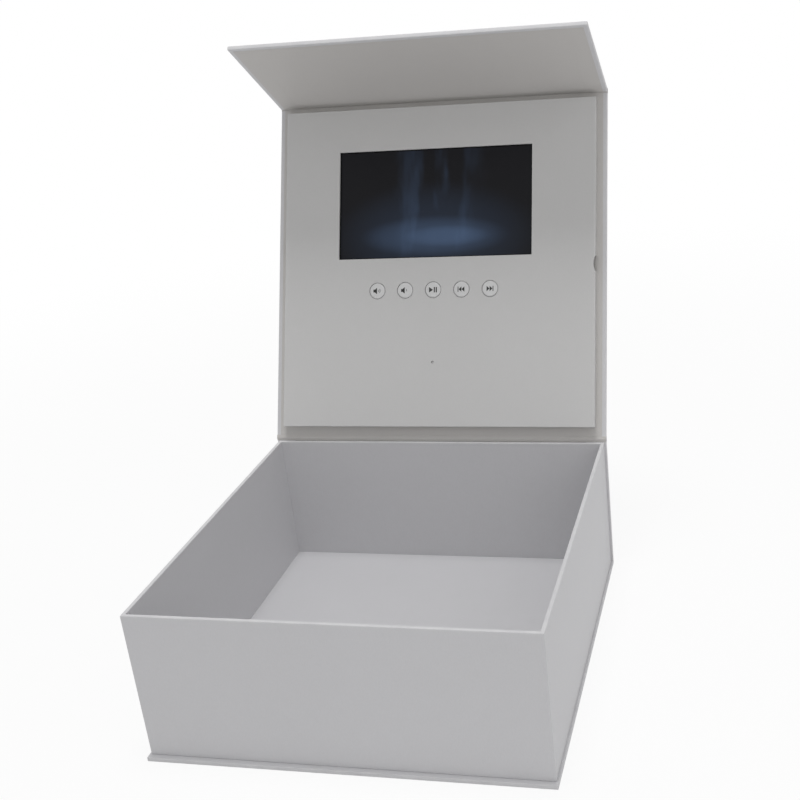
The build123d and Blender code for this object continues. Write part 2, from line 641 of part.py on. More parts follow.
# ---------------------------------------------------------------- assembly
def lid_pieces():
    """The lid board with its papers, and everything in the raised panel but the buttons."""
    lid_v = (HINGE_GAP, LID_LENGTH - HINGE_GAP)
    flat = {
        "lid_board": case_board(lid_v),
        "lid_wrap": case_wrap(lid_v),
        "lid_lining": case_lining(lid_v),
        "panel_frame": panel_frame(),
        "panel_face": panel_face(),
        "panel_wrap": panel_wrap(),
        "foam_spacer": foam_spacer(),
        "foam_pads": foam_pads(),
        "lcd_frame": lcd_frame(),
        "lcd_glass": lcd_glass(),
        "light_guide": light_guide(),
        "main_board": main_board(),
        "board_chips": board_chips(),
        "light_sensor": light_sensor(),
        "button_board": block(*BUTTON_BOARD_AT, (INNER_FACE, BOARD_FRONT)),
        "tact_switches": tact_switches(),
        "battery": battery(),
        "speaker_magnet": speaker_magnet(),
        "speaker_frame": speaker_frame(),
        "speaker_cone": speaker_cone(),
        "charge_board": charge_board(),
        "charge_lamp": charge_lamp(),
        "usb_socket": usb_socket(),
        "flat_cables": flat_cables(),
        "battery_leads": battery_leads(),
        "speaker_leads": speaker_leads(),
        "charge_leads": charge_leads(),
    }
    for name, u in zip(BUTTON_NAMES, BUTTON_U):
        flat[f"{name}_button"] = button_cap(u)
        flat[f"{name}_plunger"] = plunger(u)
    return {name: LID * piece for name, piece in flat.items()}


def flap_magnets(diameter):
    """Discs let into the flap board from its inner side."""
    w = (HALF_BOARD - MAGNET, HALF_BOARD)
    return Part() + [disc(side * MAGNET_U, MAGNET_V, diameter, w) for side in (-1, 1)]


def flap_pieces():
    """The flap board with its papers and magnets."""
    board = case_board((HINGE_GAP, FLAP_LENGTH - PAPER))
    flat = {
        "flap_board": board - flap_magnets(MAGNET_D + 2 * MAGNET_PLAY),
        "flap_wrap": case_wrap((HINGE_GAP, FLAP_LENGTH), free_end=True),
        "flap_lining": case_lining((HINGE_GAP, FLAP_LENGTH - LINING_MARGIN), free_end=True),
        "flap_magnets": flap_magnets(MAGNET_D),
    }
    return {name: FLAP * piece for name, piece in flat.items()}


def hinge_pieces():
    """The paper that bends between spine and lid, and between lid and flap."""
    lid_inner, lid_outer = hinge_papers(LID_AXIS_Y, LID_AXIS_Z, 90.0, LID_HEADING)
    flap_inner, flap_outer = hinge_papers(FLAP_AXIS_Y, FLAP_AXIS_Z, LID_HEADING, FLAP_HEADING)
    return {
        "lid_hinge_inner": lid_inner,
        "lid_hinge_outer": lid_outer,
        "flap_hinge_inner": flap_inner,
        "flap_hinge_outer": flap_outer,
    }


def main():
    """Builds every piece in place and writes one file for each."""
    os.makedirs("parts", exist_ok=True)
    nodes = {**tray_pieces(), **lid_pieces(), **flap_pieces(), **hinge_pieces()}
    for name, piece in nodes.items():
        export_step(piece, f"parts/{name}.step")
    print(len(nodes), "nodes")
    print("lid hinge axis", LID_AXIS_Y, LID_AXIS_Z)
    print("flap hinge axis", FLAP_AXIS_Y, FLAP_AXIS_Z)


main()
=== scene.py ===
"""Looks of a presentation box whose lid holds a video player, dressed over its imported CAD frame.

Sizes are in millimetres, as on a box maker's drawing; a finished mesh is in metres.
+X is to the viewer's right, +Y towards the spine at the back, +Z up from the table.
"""

from __future__ import annotations

import logging
from abc import ABC, abstractmethod
from collections.abc import Iterable, Mapping, Sequence
from dataclasses import dataclass
from enum import Enum
from math import atan2, cos, degrees, pi, radians, sin, sqrt
from typing import ClassVar

import bmesh
import bpy
from mathutils import Matrix, Vector
from mathutils.geometry import tessellate_polygon


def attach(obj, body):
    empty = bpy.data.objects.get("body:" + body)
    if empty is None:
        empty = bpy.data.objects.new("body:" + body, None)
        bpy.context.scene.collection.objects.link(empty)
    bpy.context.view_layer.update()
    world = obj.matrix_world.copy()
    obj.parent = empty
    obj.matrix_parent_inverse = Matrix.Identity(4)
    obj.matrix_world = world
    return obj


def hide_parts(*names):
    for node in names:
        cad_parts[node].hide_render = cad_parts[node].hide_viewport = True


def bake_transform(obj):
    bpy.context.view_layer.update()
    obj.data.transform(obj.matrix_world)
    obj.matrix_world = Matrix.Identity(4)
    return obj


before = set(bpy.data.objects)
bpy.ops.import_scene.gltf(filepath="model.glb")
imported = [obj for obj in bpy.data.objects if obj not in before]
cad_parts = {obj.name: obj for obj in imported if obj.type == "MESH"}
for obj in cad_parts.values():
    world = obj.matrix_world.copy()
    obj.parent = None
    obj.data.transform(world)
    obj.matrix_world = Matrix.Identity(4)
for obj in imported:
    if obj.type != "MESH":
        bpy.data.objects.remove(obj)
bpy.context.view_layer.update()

log = logging.getLogger("box")

MM = 0.001
WELD = 2e-6                # points nearer than this are one, in metres
SLIVER = 1e-7              # and edges shorter than this go
Colour = tuple[float, float, float, float]
Flat = tuple[float, float]
Bend = tuple[float, float, float]                   # inset or u, level, and fold mark
Layer = tuple["Socket", float, float, float]        # a pattern, its share in tone, roughness, relief


# ---- names shared with the CAD
class Body(Enum):
    """The parts that move as one."""

    TRAY = "tray"
    LID = "lid"
    FLAP = "flap"


class Slot(Enum):
    """The record's material slots."""

    COVER = "covering_paper"
    LINING = "lining_paper"
    GREYBOARD = "greyboard"
    TAPE = "stay_tape"
    MAGNET = "magnet"
    FOAM = "foam"
    STEEL = "pressed_steel"
    SCREEN = "screen_glass"
    GUIDE = "light_guide"
    CIRCUIT = "circuit_board"
    PLASTIC = "black_plastic"
    LENS = "sensor_lens"
    POUCH = "battery_pouch"
    CONE = "speaker_paper"
    RIBBON = "ribbon_cable"
    WIRE = "wire_insulation"
    CAP = "button_cap"


class Key(Enum):
    """The five push buttons, from left to right."""

    VOLUME_UP = "volume_up"
    VOLUME_DOWN = "volume_down"
    PLAY_PAUSE = "play_pause"
    PREVIOUS = "previous"
    NEXT = "next"


class Edges(Enum):
    """Which edges of a covered board are free, and so have paper folded round them."""

    ALL = "all round"
    NOT_START = "all but the one at the lower v"
    NOT_END = "all but the one at the higher v"


# ---- sizes that several pieces share
COVER_HALF = 131.0         # case boards, half their width over the paper
TRAY_HALF = 129.5
RIM_Z = 104.0
PAPER = 0.2
LINING = 0.15
HALF_CASE = 1.45           # middle of a case board to its outer paper
LINED = 1.6                # and to the top of its lining
SUNK = 0.12                # how far the lining sinks past the turned-in paper
CASE_FOLD = 0.45           # radius of the paper's folds round a case board
HINGE_GAP = 2.0            # hinge axis to the edge of each board
TURN_IN = 15.0
LINING_MARGIN = 3.0
LID_LENGTH = 262.55        # lid hinge axis to flap hinge axis
FLAP_LENGTH = 102.4
MODULE_U = -2.0            # screen, buttons and pinhole are centred on this line
BUTTON_V = 113.6
BUTTON_PITCH = 22.4
BUTTONS_U = [MODULE_U + BUTTON_PITCH * i for i in range(-2, 3)]
CIRCUIT_W = 2.6            # front of the circuit boards


@dataclass(frozen=True)
class BoardFrame:
    """Where a board stands: u across, v away from its hinge, w out of its inner face.

    w is 0 in the middle of the board. heading is the angle of v from +Y towards +Z.
    """

    y: float
    z: float
    heading: float

    def at(self, u: float, v: float, w: float) -> Vector:
        """The point at u, v, w, in millimetres."""
        s, c = sin(radians(self.heading)), cos(radians(self.heading))
        return Vector((u, self.y + v * c - w * s, self.z + v * s + w * c))

    def facing(self, way: float = 1.0) -> Vector:
        """The direction of w, or against it where way is -1."""
        return (self.at(0, 0, way) - self.at(0, 0, 0)).normalized()

    def matrix(self, u: float, v: float, w: float) -> Matrix:
        """The placement of a mesh drawn in metres about the point u, v, w."""
        return Matrix.Translation(self.at(u, v, w) * MM) @ Matrix.Rotation(radians(self.heading), 4, "X")


UPRIGHT = BoardFrame(0.0, 0.0, 0.0)
BASE = BoardFrame(0.0, HALF_CASE, 0.0)
SPINE = BoardFrame(130.95, 0.0, 90.0)
LID = BoardFrame(130.95, 106.0, 65.7)
FLAP = BoardFrame(238.993, 345.289, 146.2)


# ---- node trees
class Socket:
    """One output of a node. Arithmetic on it adds Math nodes to its tree."""

    def __init__(self, graph: Graph, node: bpy.types.Node, name: str | int = 0) -> None:
        """Wraps the output of this name or number."""
        self.graph, self.node, self.name = graph, node, name

    @property
    def output(self) -> bpy.types.NodeSocket:
        """The output socket itself."""
        return self.node.outputs[self.name]

    def other(self, name: str) -> Socket:
        """Another output of the same node."""
        return Socket(self.graph, self.node, name)

    def _math(self, operation: str, *values: object) -> Socket:
        """A Math node on these values or sockets."""
        return self.graph.add("ShaderNodeMath", {"operation": operation}, dict(enumerate(values)))

    def __add__(self, other: object) -> Socket:
        """self + other"""
        return self._math("ADD", self, other)

    def __sub__(self, other: object) -> Socket:
        """self - other"""
        return self._math("SUBTRACT", self, other)

    def __rsub__(self, other: object) -> Socket:
        """other - self"""
        return self._math("SUBTRACT", other, self)

    def __mul__(self, other: object) -> Socket:
        """self * other"""
        return self._math("MULTIPLY", self, other)

    def __truediv__(self, other: object) -> Socket:
        """self / other"""
        return self._math("DIVIDE", self, other)

    def __abs__(self) -> Socket:
        """abs(self)"""
        return self._math("ABSOLUTE", self)

    def __lt__(self, other: object) -> Socket:
        """1 where self is below other"""
        return self._math("LESS_THAN", self, other)

    __radd__ = __add__
    __rmul__ = __mul__

    def wave(self) -> Socket:
        """The sine of the value."""
        return self._math("SINE", self)

    def larger(self, other: object) -> Socket:
        """The larger of the two."""
        return self._math("MAXIMUM", self, other)


class Graph:
    """A node tree under construction."""

    def __init__(self, tree: bpy.types.NodeTree) -> None:
        """Wraps a tree and empties it."""
        self.tree = tree
        tree.nodes.clear()

    def add(
        self, kind: str, settings: Mapping[str, object] | None = None,
        feeds: Mapping[str | int, object] | None = None, output: str | int = 0,
    ) -> Socket:
        """Adds any node.

        Args:
            kind: the node's type name.
            settings: its properties, set first.
            feeds: values or sockets for its inputs, by name or number.
            output: the output that is wanted.

        Returns:
            That output, wrapped.
        """
        node = self.tree.nodes.new(kind)
        for name, value in (settings or {}).items():
            setattr(node, name, value)
        for name, value in (feeds or {}).items():
            self.feed(node.inputs[name], value)
        return Socket(self, node, output)

    def feed(self, target: bpy.types.NodeSocket, value: object) -> None:
        """Links a wrapped socket to an input, or sets the input's own value.

        Args:
            target: the input.
            value: the wrapped socket, or the value.
        """
        if isinstance(value, Socket):
            self.tree.links.new(value.output, target)
        else:
            target.default_value = value


class Shader(Graph):
    """A material: one principled shader and the patterns that feed it."""

    def __init__(self, name: str, plain: Mapping[str, float]) -> None:
        """Makes the material.

        Args:
            name: the material's name.
            plain: values that are the same all over, set on the shader itself.
        """
        self.material = bpy.data.materials.new(name)
        self.material.use_nodes = True
        super().__init__(self.material.node_tree)
        self.surface = self.add("ShaderNodeBsdfPrincipled", feeds=plain)
        self.end = self.add("ShaderNodeOutputMaterial", feeds={"Surface": self.surface}).node
        self.place = self.add("ShaderNodeTexCoord", output="Object")

    def on_board(self, board: BoardFrame) -> None:
        """Measures the patterns in a board's own u, v and w, in metres.

        Args:
            board: where it stands.
        """
        turn = Matrix.Rotation(-radians(board.heading), 3, "X")
        feeds = {
            "Vector": self.place, "Location": turn @ board.at(0, 0, 0) * -MM,
            "Rotation": (-radians(board.heading), 0, 0),
        }
        self.place = self.add("ShaderNodeMapping", feeds=feeds)

    def stretched(self, x: float, y: float, z: float) -> Socket:
        """The place, scaled along each axis."""
        return self.add("ShaderNodeVectorMath", {"operation": "MULTIPLY"}, {0: self.place, 1: (x, y, z)})

    def along(self, axis: int) -> Socket:
        """One coordinate of the place, 0 for x, 1 for y and 2 for z."""
        return self.add("ShaderNodeSeparateXYZ", feeds={0: self.place}, output=axis)

    def stripes(self, axis: int, pitch: float) -> Socket:
        """A wave from -1 to 1 along an axis, this many millimetres long."""
        return (self.along(axis) * (2 * pi / (pitch * MM))).wave()

    def noise(self, scale: float, detail: float, place: Socket | None = None) -> Socket:
        """Soft noise from 0 to 1, of this many waves in a metre."""
        feeds = {"Vector": place or self.place, "Scale": scale, "Detail": detail}
        return self.add("ShaderNodeTexNoise", feeds=feeds)

    def cells(self, scale: float, feature: str = "F1") -> Socket:
        """Distance to the nearest of scattered points, this many in a metre."""
        feeds = {"Vector": self.place, "Scale": scale}
        return self.add("ShaderNodeTexVoronoi", {"feature": feature}, feeds, "Distance")

    def between(self, value: Socket, low: float, high: float) -> Socket:
        """0 where a value is at low, 1 at high, and smooth in between."""
        feeds = {"Value": value, "From Min": low, "From Max": high}
        return self.add("ShaderNodeMapRange", {"interpolation_type": "SMOOTHSTEP"}, feeds)

    def mark(self, name: str) -> Socket:
        """A number that the mesh holds at each point."""
        return self.add("ShaderNodeAttribute", {"attribute_name": name}, output="Fac")

    def mix(self, share: Socket, first: object, second: object) -> Socket:
        """A colour between two."""
        return self.add("ShaderNodeMix", {"data_type": "RGBA"}, {0: share, 6: first, 7: second}, 2)

    def set(self, name: str, value: Socket) -> None:
        """Feeds one of the shader's inputs."""
        self.feed(self.surface.node.inputs[name], value)


def grey(level: float, warm: float = 0.0) -> Colour:
    """A grey of this level, warmer where warm is above 0."""
    return (level * (1 + warm), level, level * (1 - warm), 1.0)


# ---- finishes
@dataclass(frozen=True)
class Finish(ABC):
    """What a surface is made of: two colours, and layers of pattern that vary it."""

    slot: Slot
    dark: Colour
    light: Colour
    roughness: float
    depth: float                   # of its relief
    strength: float = 1.0          # and how far that shows
    over: Colour | None = None     # a colour that the last layer lays on
    share: float = 1.0             # and how much of it
    name: str = ""                 # where it isn't the slot's own
    plain: ClassVar[dict[str, float]] = {}

    @abstractmethod
    def layers(self, shader: Shader) -> list[Layer]:
        """Its patterns, each with its share in the tone, the roughness and the relief."""

    def make(self) -> bpy.types.Material:
        """Adds up the layers and feeds them to a shader.

        Returns:
            The material.
        """
        shader = Shader(self.name or self.slot.value, self.plain)
        layers = self.layers(shader)
        tone, rough, relief = 0.5, self.roughness, 0.0
        for pattern, in_tone, in_rough, in_relief in layers:
            tone = tone + (pattern - 0.5) * in_tone if in_tone else tone
            rough = rough + (pattern - 0.5) * in_rough if in_rough else rough
            relief = relief + pattern * in_relief if in_relief else relief
        colour = shader.mix(tone, self.dark, self.light)
        if self.over:
            colour = shader.mix(layers[-1][0] * self.share, colour, self.over)
        shader.set("Base Color", colour)
        shader.set("Roughness", rough)
        if self.depth:
            feeds = {"Height": relief, "Distance": self.depth * MM, "Strength": self.strength}
            shader.set("Normal", shader.add("ShaderNodeBump", feeds=feeds))
        return shader.material


class WrapPaper(Finish):
    """Satin printed paper: faint clouds, fine fibres, and folds rubbed paler."""

    plain = {"Specular IOR Level": 0.35}

    def layers(self, shader: Shader) -> list[Layer]:
        """Clouds, patches, fibres and wear.

        Args:
            shader: the material.

        Returns:
            The layers.
        """
        worn = shader.mark("fold") * shader.between(shader.noise(90.0, 3.0), 0.25, 0.8)
        fibres = shader.noise(1500.0, 4.0, shader.stretched(1.0, 1.0, 0.4))
        return [
            (shader.noise(9.0, 3.0), 0.55, 0, 1.2), (shader.noise(120.0, 3.0), 0.4, 0.14, 0.5),
            (fibres, 1.2, 0, 0.7), (worn, 0, 0.15, 0),
        ]


class Greyboard(Finish):
    """Recycled board: warm grey with dark and pale flecks, fibrous where it is cut."""

    plain = {"Specular IOR Level": 0.15}

    def layers(self, shader: Shader) -> list[Layer]:
        """Pulp, plies and flecks.

        Args:
            shader: the material.

        Returns:
            The layers.
        """
        plies = shader.noise(2400.0, 2.0, shader.stretched(0.2, 0.2, 1.0))
        flecks = shader.between(shader.cells(620.0), 0.22, 0.08)
        return [(shader.noise(340.0, 5.0), 1, 0.2, 1), (plies, 0, 0, 0.5), (flecks, 0, 0, 0)]


class StayTape(Finish):
    """Gummed kraft tape with fine lengthwise ribs."""

    plain = {"Specular IOR Level": 0.25}

    def layers(self, shader: Shader) -> list[Layer]:
        """Ribs and pulp."""
        ribs = shader.stripes(2, 1.208) * 0.5 + 0.5
        return [(ribs, 0, 0, 0.6), (shader.noise(420.0, 4.0), 1, 0.2, 0.4)]


class Metal(Finish):
    """Plain metal: pressed sheet or plating, brushed along one way and a little scuffed."""

    plain = {"Metallic": 1.0}

    def layers(self, shader: Shader) -> list[Layer]:
        """Brushed lines and scuffs."""
        lines = shader.noise(1100.0, 3.0, shader.stretched(0.04, 1.0, 1.0))
        return [(lines, 0.6, self.strength, 1), (shader.noise(70.0, 4.0), 0.4, 0.2, 0)]


class Foam(Finish):
    """Dark closed-cell foam."""

    plain = {"Specular IOR Level": 0.2}

    def layers(self, shader: Shader) -> list[Layer]:
        """Pores and clouds."""
        pores = shader.between(shader.cells(1300.0), 0.1, 0.5)
        return [(pores, 0.7, 0.15, 1), (shader.noise(60.0, 3.0), 0.3, 0, 0)]


class Moulding(Finish):
    """Moulded plastic with a fine spark-eroded grain."""

    plain = {"Specular IOR Level": 0.45}

    def layers(self, shader: Shader) -> list[Layer]:
        """Grain and clouds."""
        return [(shader.noise(2600.0, 2.0), 0.4, 0.06, 1), (shader.noise(110.0, 3.0), 0.6, 0.12, 0)]


class LightGuide(Finish):
    """Acrylic plate printed with a grid of white dots."""

    pitch: ClassVar[float] = 1.6

    def layers(self, shader: Shader) -> list[Layer]:
        """Dots and clouds.

        Args:
            shader: the material.

        Returns:
            The layers.
        """
        shader.on_board(LID)
        dots = shader.between(shader.stripes(0, self.pitch) * shader.stripes(1, self.pitch), 0.25, 0.5)
        return [(dots, 1, 0.35, 1), (shader.noise(30.0, 3.0), 0, 0.05, 0)]


class CircuitBoard(Finish):
    """Green solder mask over copper tracks, with gold pads."""

    def layers(self, shader: Shader) -> list[Layer]:
        """Tracks, weave and pads. The pads are metal.

        Args:
            shader: the material.

        Returns:
            The layers.
        """
        shader.on_board(LID)
        feeds = {
            "Vector": shader.place, "Scale": 130.0, "Mortar Size": 0.07, "Mortar Smooth": 0.2,
            "Row Height": 0.3, "Brick Width": 1.7,
        }
        blocks = shader.add("ShaderNodeTexBrick", {"offset": 0.37}, feeds, "Fac")
        weave = shader.noise(800.0, 2.0, shader.stretched(1.0, 0.3, 1.0))
        pads = shader.between(shader.cells(360.0), 0.16, 0.12)
        shader.set("Metallic", pads)
        return [(blocks, 0.8, 0, 1), (weave, 0.2, 0.1, 0), (pads, 0, -0.1, 1)]


class PouchFilm(Finish):
    """Aluminium laminate of the battery pouch, faintly crinkled."""

    plain = {"Metallic": 0.75}

    def layers(self, shader: Shader) -> list[Layer]:
        """Creases and haze."""
        return [(shader.cells(130.0, "SMOOTH_F1"), 0, 0, 1), (shader.noise(45.0, 3.0), 1, 0.15, 0)]


class RibbonFilm(Finish):
    """Flat cable: parallel conductors under a pale film."""

    plain = {"Specular IOR Level": 0.45}
    pitch: ClassVar[float] = 1.0

    def layers(self, shader: Shader) -> list[Layer]:
        """Conductors and haze."""
        lines = shader.between(shader.stripes(0, self.pitch), -0.2, 0.3)
        return [(lines, 1, 0, 1), (shader.noise(90.0, 3.0), 0, 0.12, 0)]


class WireJacket(Finish):
    """Twin lead: a red wire beside a black one, told apart by a broad pattern."""

    plain = {"Specular IOR Level": 0.4}

    def layers(self, shader: Shader) -> list[Layer]:
        """Tint and wax."""
        tint = shader.between(shader.noise(24.0, 0.0), 0.49, 0.51)
        return [(tint, 1, 0, 0), (shader.noise(700.0, 3.0), 0, 0.15, 1)]


class ScreenPicture(Finish):
    """The lit screen behind its pane: a dark picture of nothing but a soft blue haze."""

    plain = {"IOR": 1.5, "Specular IOR Level": 0.06, "Emission Strength": 1.0, "Coat Roughness": 0.04}
    centre_v: ClassVar[float] = 181.0
    half_width: ClassVar[float] = 76.0
    half_height: ClassVar[float] = 41.4
    night: ClassVar[Colour] = (0.0065, 0.0065, 0.008, 1)
    haze: ClassVar[Colour] = (0.056, 0.09, 0.16, 1)

    def layers(self, shader: Shader) -> list[Layer]:
        """Smears on the pane, and the picture, which shines through it.

        Args:
            shader: the material.

        Returns:
            The layers.
        """
        shader.on_board(LID)
        across = (shader.along(0) / MM - MODULE_U) / self.half_width
        up = (shader.along(1) / MM - self.centre_v) / self.half_height
        drift = shader.noise(34.0, 3.0, shader.stretched(1.5, 0.4, 1.0))
        wisps = shader.between(drift, 0.48, 0.72) * (1.0 - shader.between(abs(across), 0.1, 0.6))
        glow = self._patch(shader, across, up, (0.82, 0.42)) * (0.6 + drift * 0.5)
        core = self._patch(shader, across - 0.12, up, (0.5, 0.22))
        veil = self._patch(shader, across, up, (1.15, 1.1))
        picture = shader.mix(wisps * 0.26 + glow * 0.45 + core * 0.3 + veil * 0.16, self.night, self.haze)
        inside = (abs(across) < 1.0) * (abs(up) < 1.0)
        grid = (shader.noise(4000.0, 0.0) - 0.5) * 0.1 + 1.0
        shader.set("Emission Color", shader.mix(inside * grid, grey(0.001), picture))
        return [(shader.noise(35.0, 4.0), 1, 0.1, 0)]

    @staticmethod
    def _patch(shader: Shader, across: Socket, up: Socket, size: Flat) -> Socket:
        """A round glow low in the picture, 1 in its middle."""
        low = up + 0.62
        return 1.0 - shader.between(across * across / size[0] ** 2 + low * low / size[1] ** 2, 0.0, 1.0)


FINISHES: tuple[Finish, ...] = (
    WrapPaper(
        Slot.COVER, (0.605, 0.602, 0.616, 1), (0.646, 0.643, 0.66, 1), 0.575, 0.05, 0.7, grey(0.76), 0.45,
    ),
    # The lining is the covering paper made darker and warmer, as painted shade for the flap's underside and
    # the lid border beside the panel; every lining piece carries it.
    WrapPaper(Slot.LINING, grey(0.525, 0.03), grey(0.56, 0.03), 0.625, 0.05, 0.7, grey(0.68, 0.03), 0.45),
    Greyboard(
        Slot.GREYBOARD, (0.17, 0.155, 0.13, 1), (0.27, 0.25, 0.215, 1), 0.85, 0.06,
        over=(0.08, 0.075, 0.065, 1), share=0.6,
    ),
    StayTape(Slot.TAPE, (0.27, 0.17, 0.085, 1), (0.42, 0.28, 0.15, 1), 0.62, 0.03),
    Metal(Slot.MAGNET, (0.508, 0.5, 0.476, 1), (0.62, 0.61, 0.58, 1), 0.25, 0.01, 0.1),
    Foam(Slot.FOAM, grey(0.008), grey(0.03), 0.875, 0.12),
    Metal(Slot.STEEL, (0.41, 0.41, 0.418, 1), (0.5, 0.5, 0.51, 1), 0.36, 0.01, 0.35),
    ScreenPicture(Slot.SCREEN, grey(0.003), grey(0.006), 0.35, 0.0),
    LightGuide(Slot.GUIDE, grey(0.62), grey(0.82), 0.32, 0.01),
    CircuitBoard(
        Slot.CIRCUIT, (0.006, 0.075, 0.03, 1), (0.012, 0.16, 0.07, 1), 0.34, 0.03, over=(0.55, 0.42, 0.16, 1),
    ),
    Moulding(Slot.PLASTIC, grey(0.008), grey(0.02), 0.5, 0.02, 0.6),
    Moulding(Slot.LENS, grey(0.5), grey(0.56), 0.25, 0.002, 0.6),
    PouchFilm(Slot.POUCH, (0.42, 0.43, 0.44, 1), (0.56, 0.57, 0.58, 1), 0.375, 0.12),
    Moulding(Slot.CONE, grey(0.01), grey(0.03), 0.85, 0.05, 0.6),
    RibbonFilm(
        Slot.RIBBON, (0.62, 0.58, 0.46, 1), (0.5, 0.5, 0.5, 1), 0.41, 0.02, over=grey(0.75, 0.03), share=0.4,
    ),
    WireJacket(
        Slot.WIRE, (0.012, 0.012, 0.012, 1), (0.24, 0.012, 0.01, 1), 0.475, 0.01, over=grey(0.2), share=0.2,
    ),
    Moulding(Slot.CAP, grey(0.62), grey(0.68), 0.42, 0.012, 0.6),
)
# The panel's paper is the covering paper made darker, as painted shade for the flap's shadow over the raised
# panel.
SHADED_PANEL_PAPER = WrapPaper(
    Slot.COVER, grey(0.565, 0.006), grey(0.6, 0.006), 0.575, 0.05, 0.7, grey(0.72), 0.45, "panel_paper_painted_shade",
)
INK = Moulding(Slot.PLASTIC, grey(0.012), grey(0.022), 0.55, 0.004, 0.6, name="printed_mark")
TINNED = Metal(Slot.STEEL, (0.492, 0.492, 0.492, 1), (0.6, 0.6, 0.6, 1), 0.3, 0.01, 0.1, name="tinned_legs")


class Palette:
    """All finishes of the box, made once."""

    def __init__(self) -> None:
        """Builds every material."""
        self.by_slot = {finish.slot: finish.make() for finish in FINISHES}
        self.panel, self.ink, self.contact = (finish.make() for finish in (SHADED_PANEL_PAPER, INK, TINNED))


# ---- meshes
class Draft:
    """A mesh being drawn, in millimetres, with a fold mark at each point."""

    def __init__(self) -> None:
        """Starts empty."""
        self.points: list[Vector] = []
        self.folds: list[float] = []
        self.faces: list[tuple[int, ...]] = []

    def row(self, points: Iterable[Vector], fold: float = 0.0) -> list[int]:
        """Adds points.

        Args:
            points: where they are.
            fold: 1 on a fold that gets rubbed, 0 on flat paper.

        Returns:
            Their numbers.
        """
        start = len(self.points)
        self.points += points
        self.folds += [fold] * (len(self.points) - start)
        return list(range(start, len(self.points)))

    def loft(self, *rows: Sequence[int], closed: bool = False) -> None:
        """Joins each row to the next by a strip of four-sided faces.

        Args:
            rows: the numbers of their points.
            closed: whether each row runs back to its first point.
        """
        for first, second in zip(rows, rows[1:]):
            for i in range(0 if closed else 1, len(first)):
                self.faces.append((first[i - 1], first[i], second[i], second[i - 1]))

    def fill_round(self, outer: Sequence[int], holes: Sequence[Sequence[int]], facing: Vector) -> None:
        """Fills a flat outline round the holes in it.

        Args:
            outer: the numbers of the outline's points.
            holes: those of each hole.
            facing: the way that the faces look.
        """
        numbers = [number for ring in (outer, *holes) for number in ring]
        rings = [[self.points[number] for number in ring] for ring in (outer, *holes)]
        for corner in tessellate_polygon(rings):
            a, b, c = (numbers[i] for i in corner)
            normal = (self.points[b] - self.points[a]).cross(self.points[c] - self.points[a])
            self.faces.append((a, b, c) if normal.dot(facing) > 0 else (a, c, b))

    def build(self, name: str, outward: Vector | None = None, thick: float = 0.0) -> bpy.types.Object:
        """Makes the object.

        Args:
            name: the piece's name.
            outward: which way its largest face looks; None for a closed shell, and a
                zero vector for a sheet that is already drawn the right way round.
            thick: the thickness given to a sheet, inwards, in millimetres.

        Returns:
            The object, at the origin.
        """
        shape = bmesh.new()
        layer = shape.verts.layers.float.new("fold")
        corners = []
        for point, fold in zip(self.points, self.folds):
            corners.append(shape.verts.new(point * MM))
            corners[-1][layer] = fold
        for face in self.faces:
            unique = list(dict.fromkeys(face))
            if len(unique) > 2:
                shape.faces.new([corners[i] for i in unique])
        bmesh.ops.remove_doubles(shape, verts=shape.verts, dist=WELD)
        bmesh.ops.dissolve_degenerate(shape, edges=shape.edges, dist=SLIVER)
        shape.normal_update()
        if outward is None:
            bmesh.ops.recalc_face_normals(shape, faces=shape.faces)
        elif max(shape.faces, key=lambda face: face.calc_area()).normal.dot(outward) < 0:
            bmesh.ops.reverse_faces(shape, faces=shape.faces)
        mesh = bpy.data.meshes.new(name)
        shape.to_mesh(mesh)
        shape.free()
        piece = bpy.data.objects.new(name, mesh)
        bpy.context.collection.objects.link(piece)
        if thick:
            wall = piece.modifiers.new("paper", "SOLIDIFY")
            wall.thickness = thick * MM
            wall.offset = -1.0
            wall.use_even_offset = True
            settle(piece)
        smooth(piece.data)
        return piece


def smooth(mesh: bpy.types.Mesh, angle: float = 42.0) -> None:
    """Shades a mesh smooth, but for edges sharper than the angle."""
    mesh.shade_smooth()
    mesh.set_sharp_from_angle(angle=radians(angle))


def settle(piece: bpy.types.Object) -> None:
    """Turns a piece's live modifiers into plain mesh.

    Args:
        piece: the object, which keeps its name.
    """
    bpy.context.view_layer.update()
    graph = bpy.context.evaluated_depsgraph_get()
    made = bpy.data.meshes.new_from_object(
        piece.evaluated_get(graph), preserve_all_data_layers=True, depsgraph=graph,
    )
    piece.modifiers.clear()
    old, piece.data = piece.data, made
    made.name = piece.name
    bpy.data.meshes.remove(old)


def arc(radius: float, steps: int, start: float, end: float, centre: Flat = (0.0, 0.0)) -> list[Flat]:
    """Points on a circle from one angle to another, in degrees."""
    angles = [radians(start + (end - start) * i / steps) for i in range(steps + 1)]
    return [(centre[0] + radius * cos(a), centre[1] + radius * sin(a)) for a in angles]


def rounded(
    radius: float, start: float, end: float, centre: Flat, mark: float = 1.0, steps: int = 4,
) -> list[Bend]:
    """The part of a section that runs round a fold, with this fold mark."""
    return [(inset, level, mark) for inset, level in arc(radius, steps, start, end, centre)]


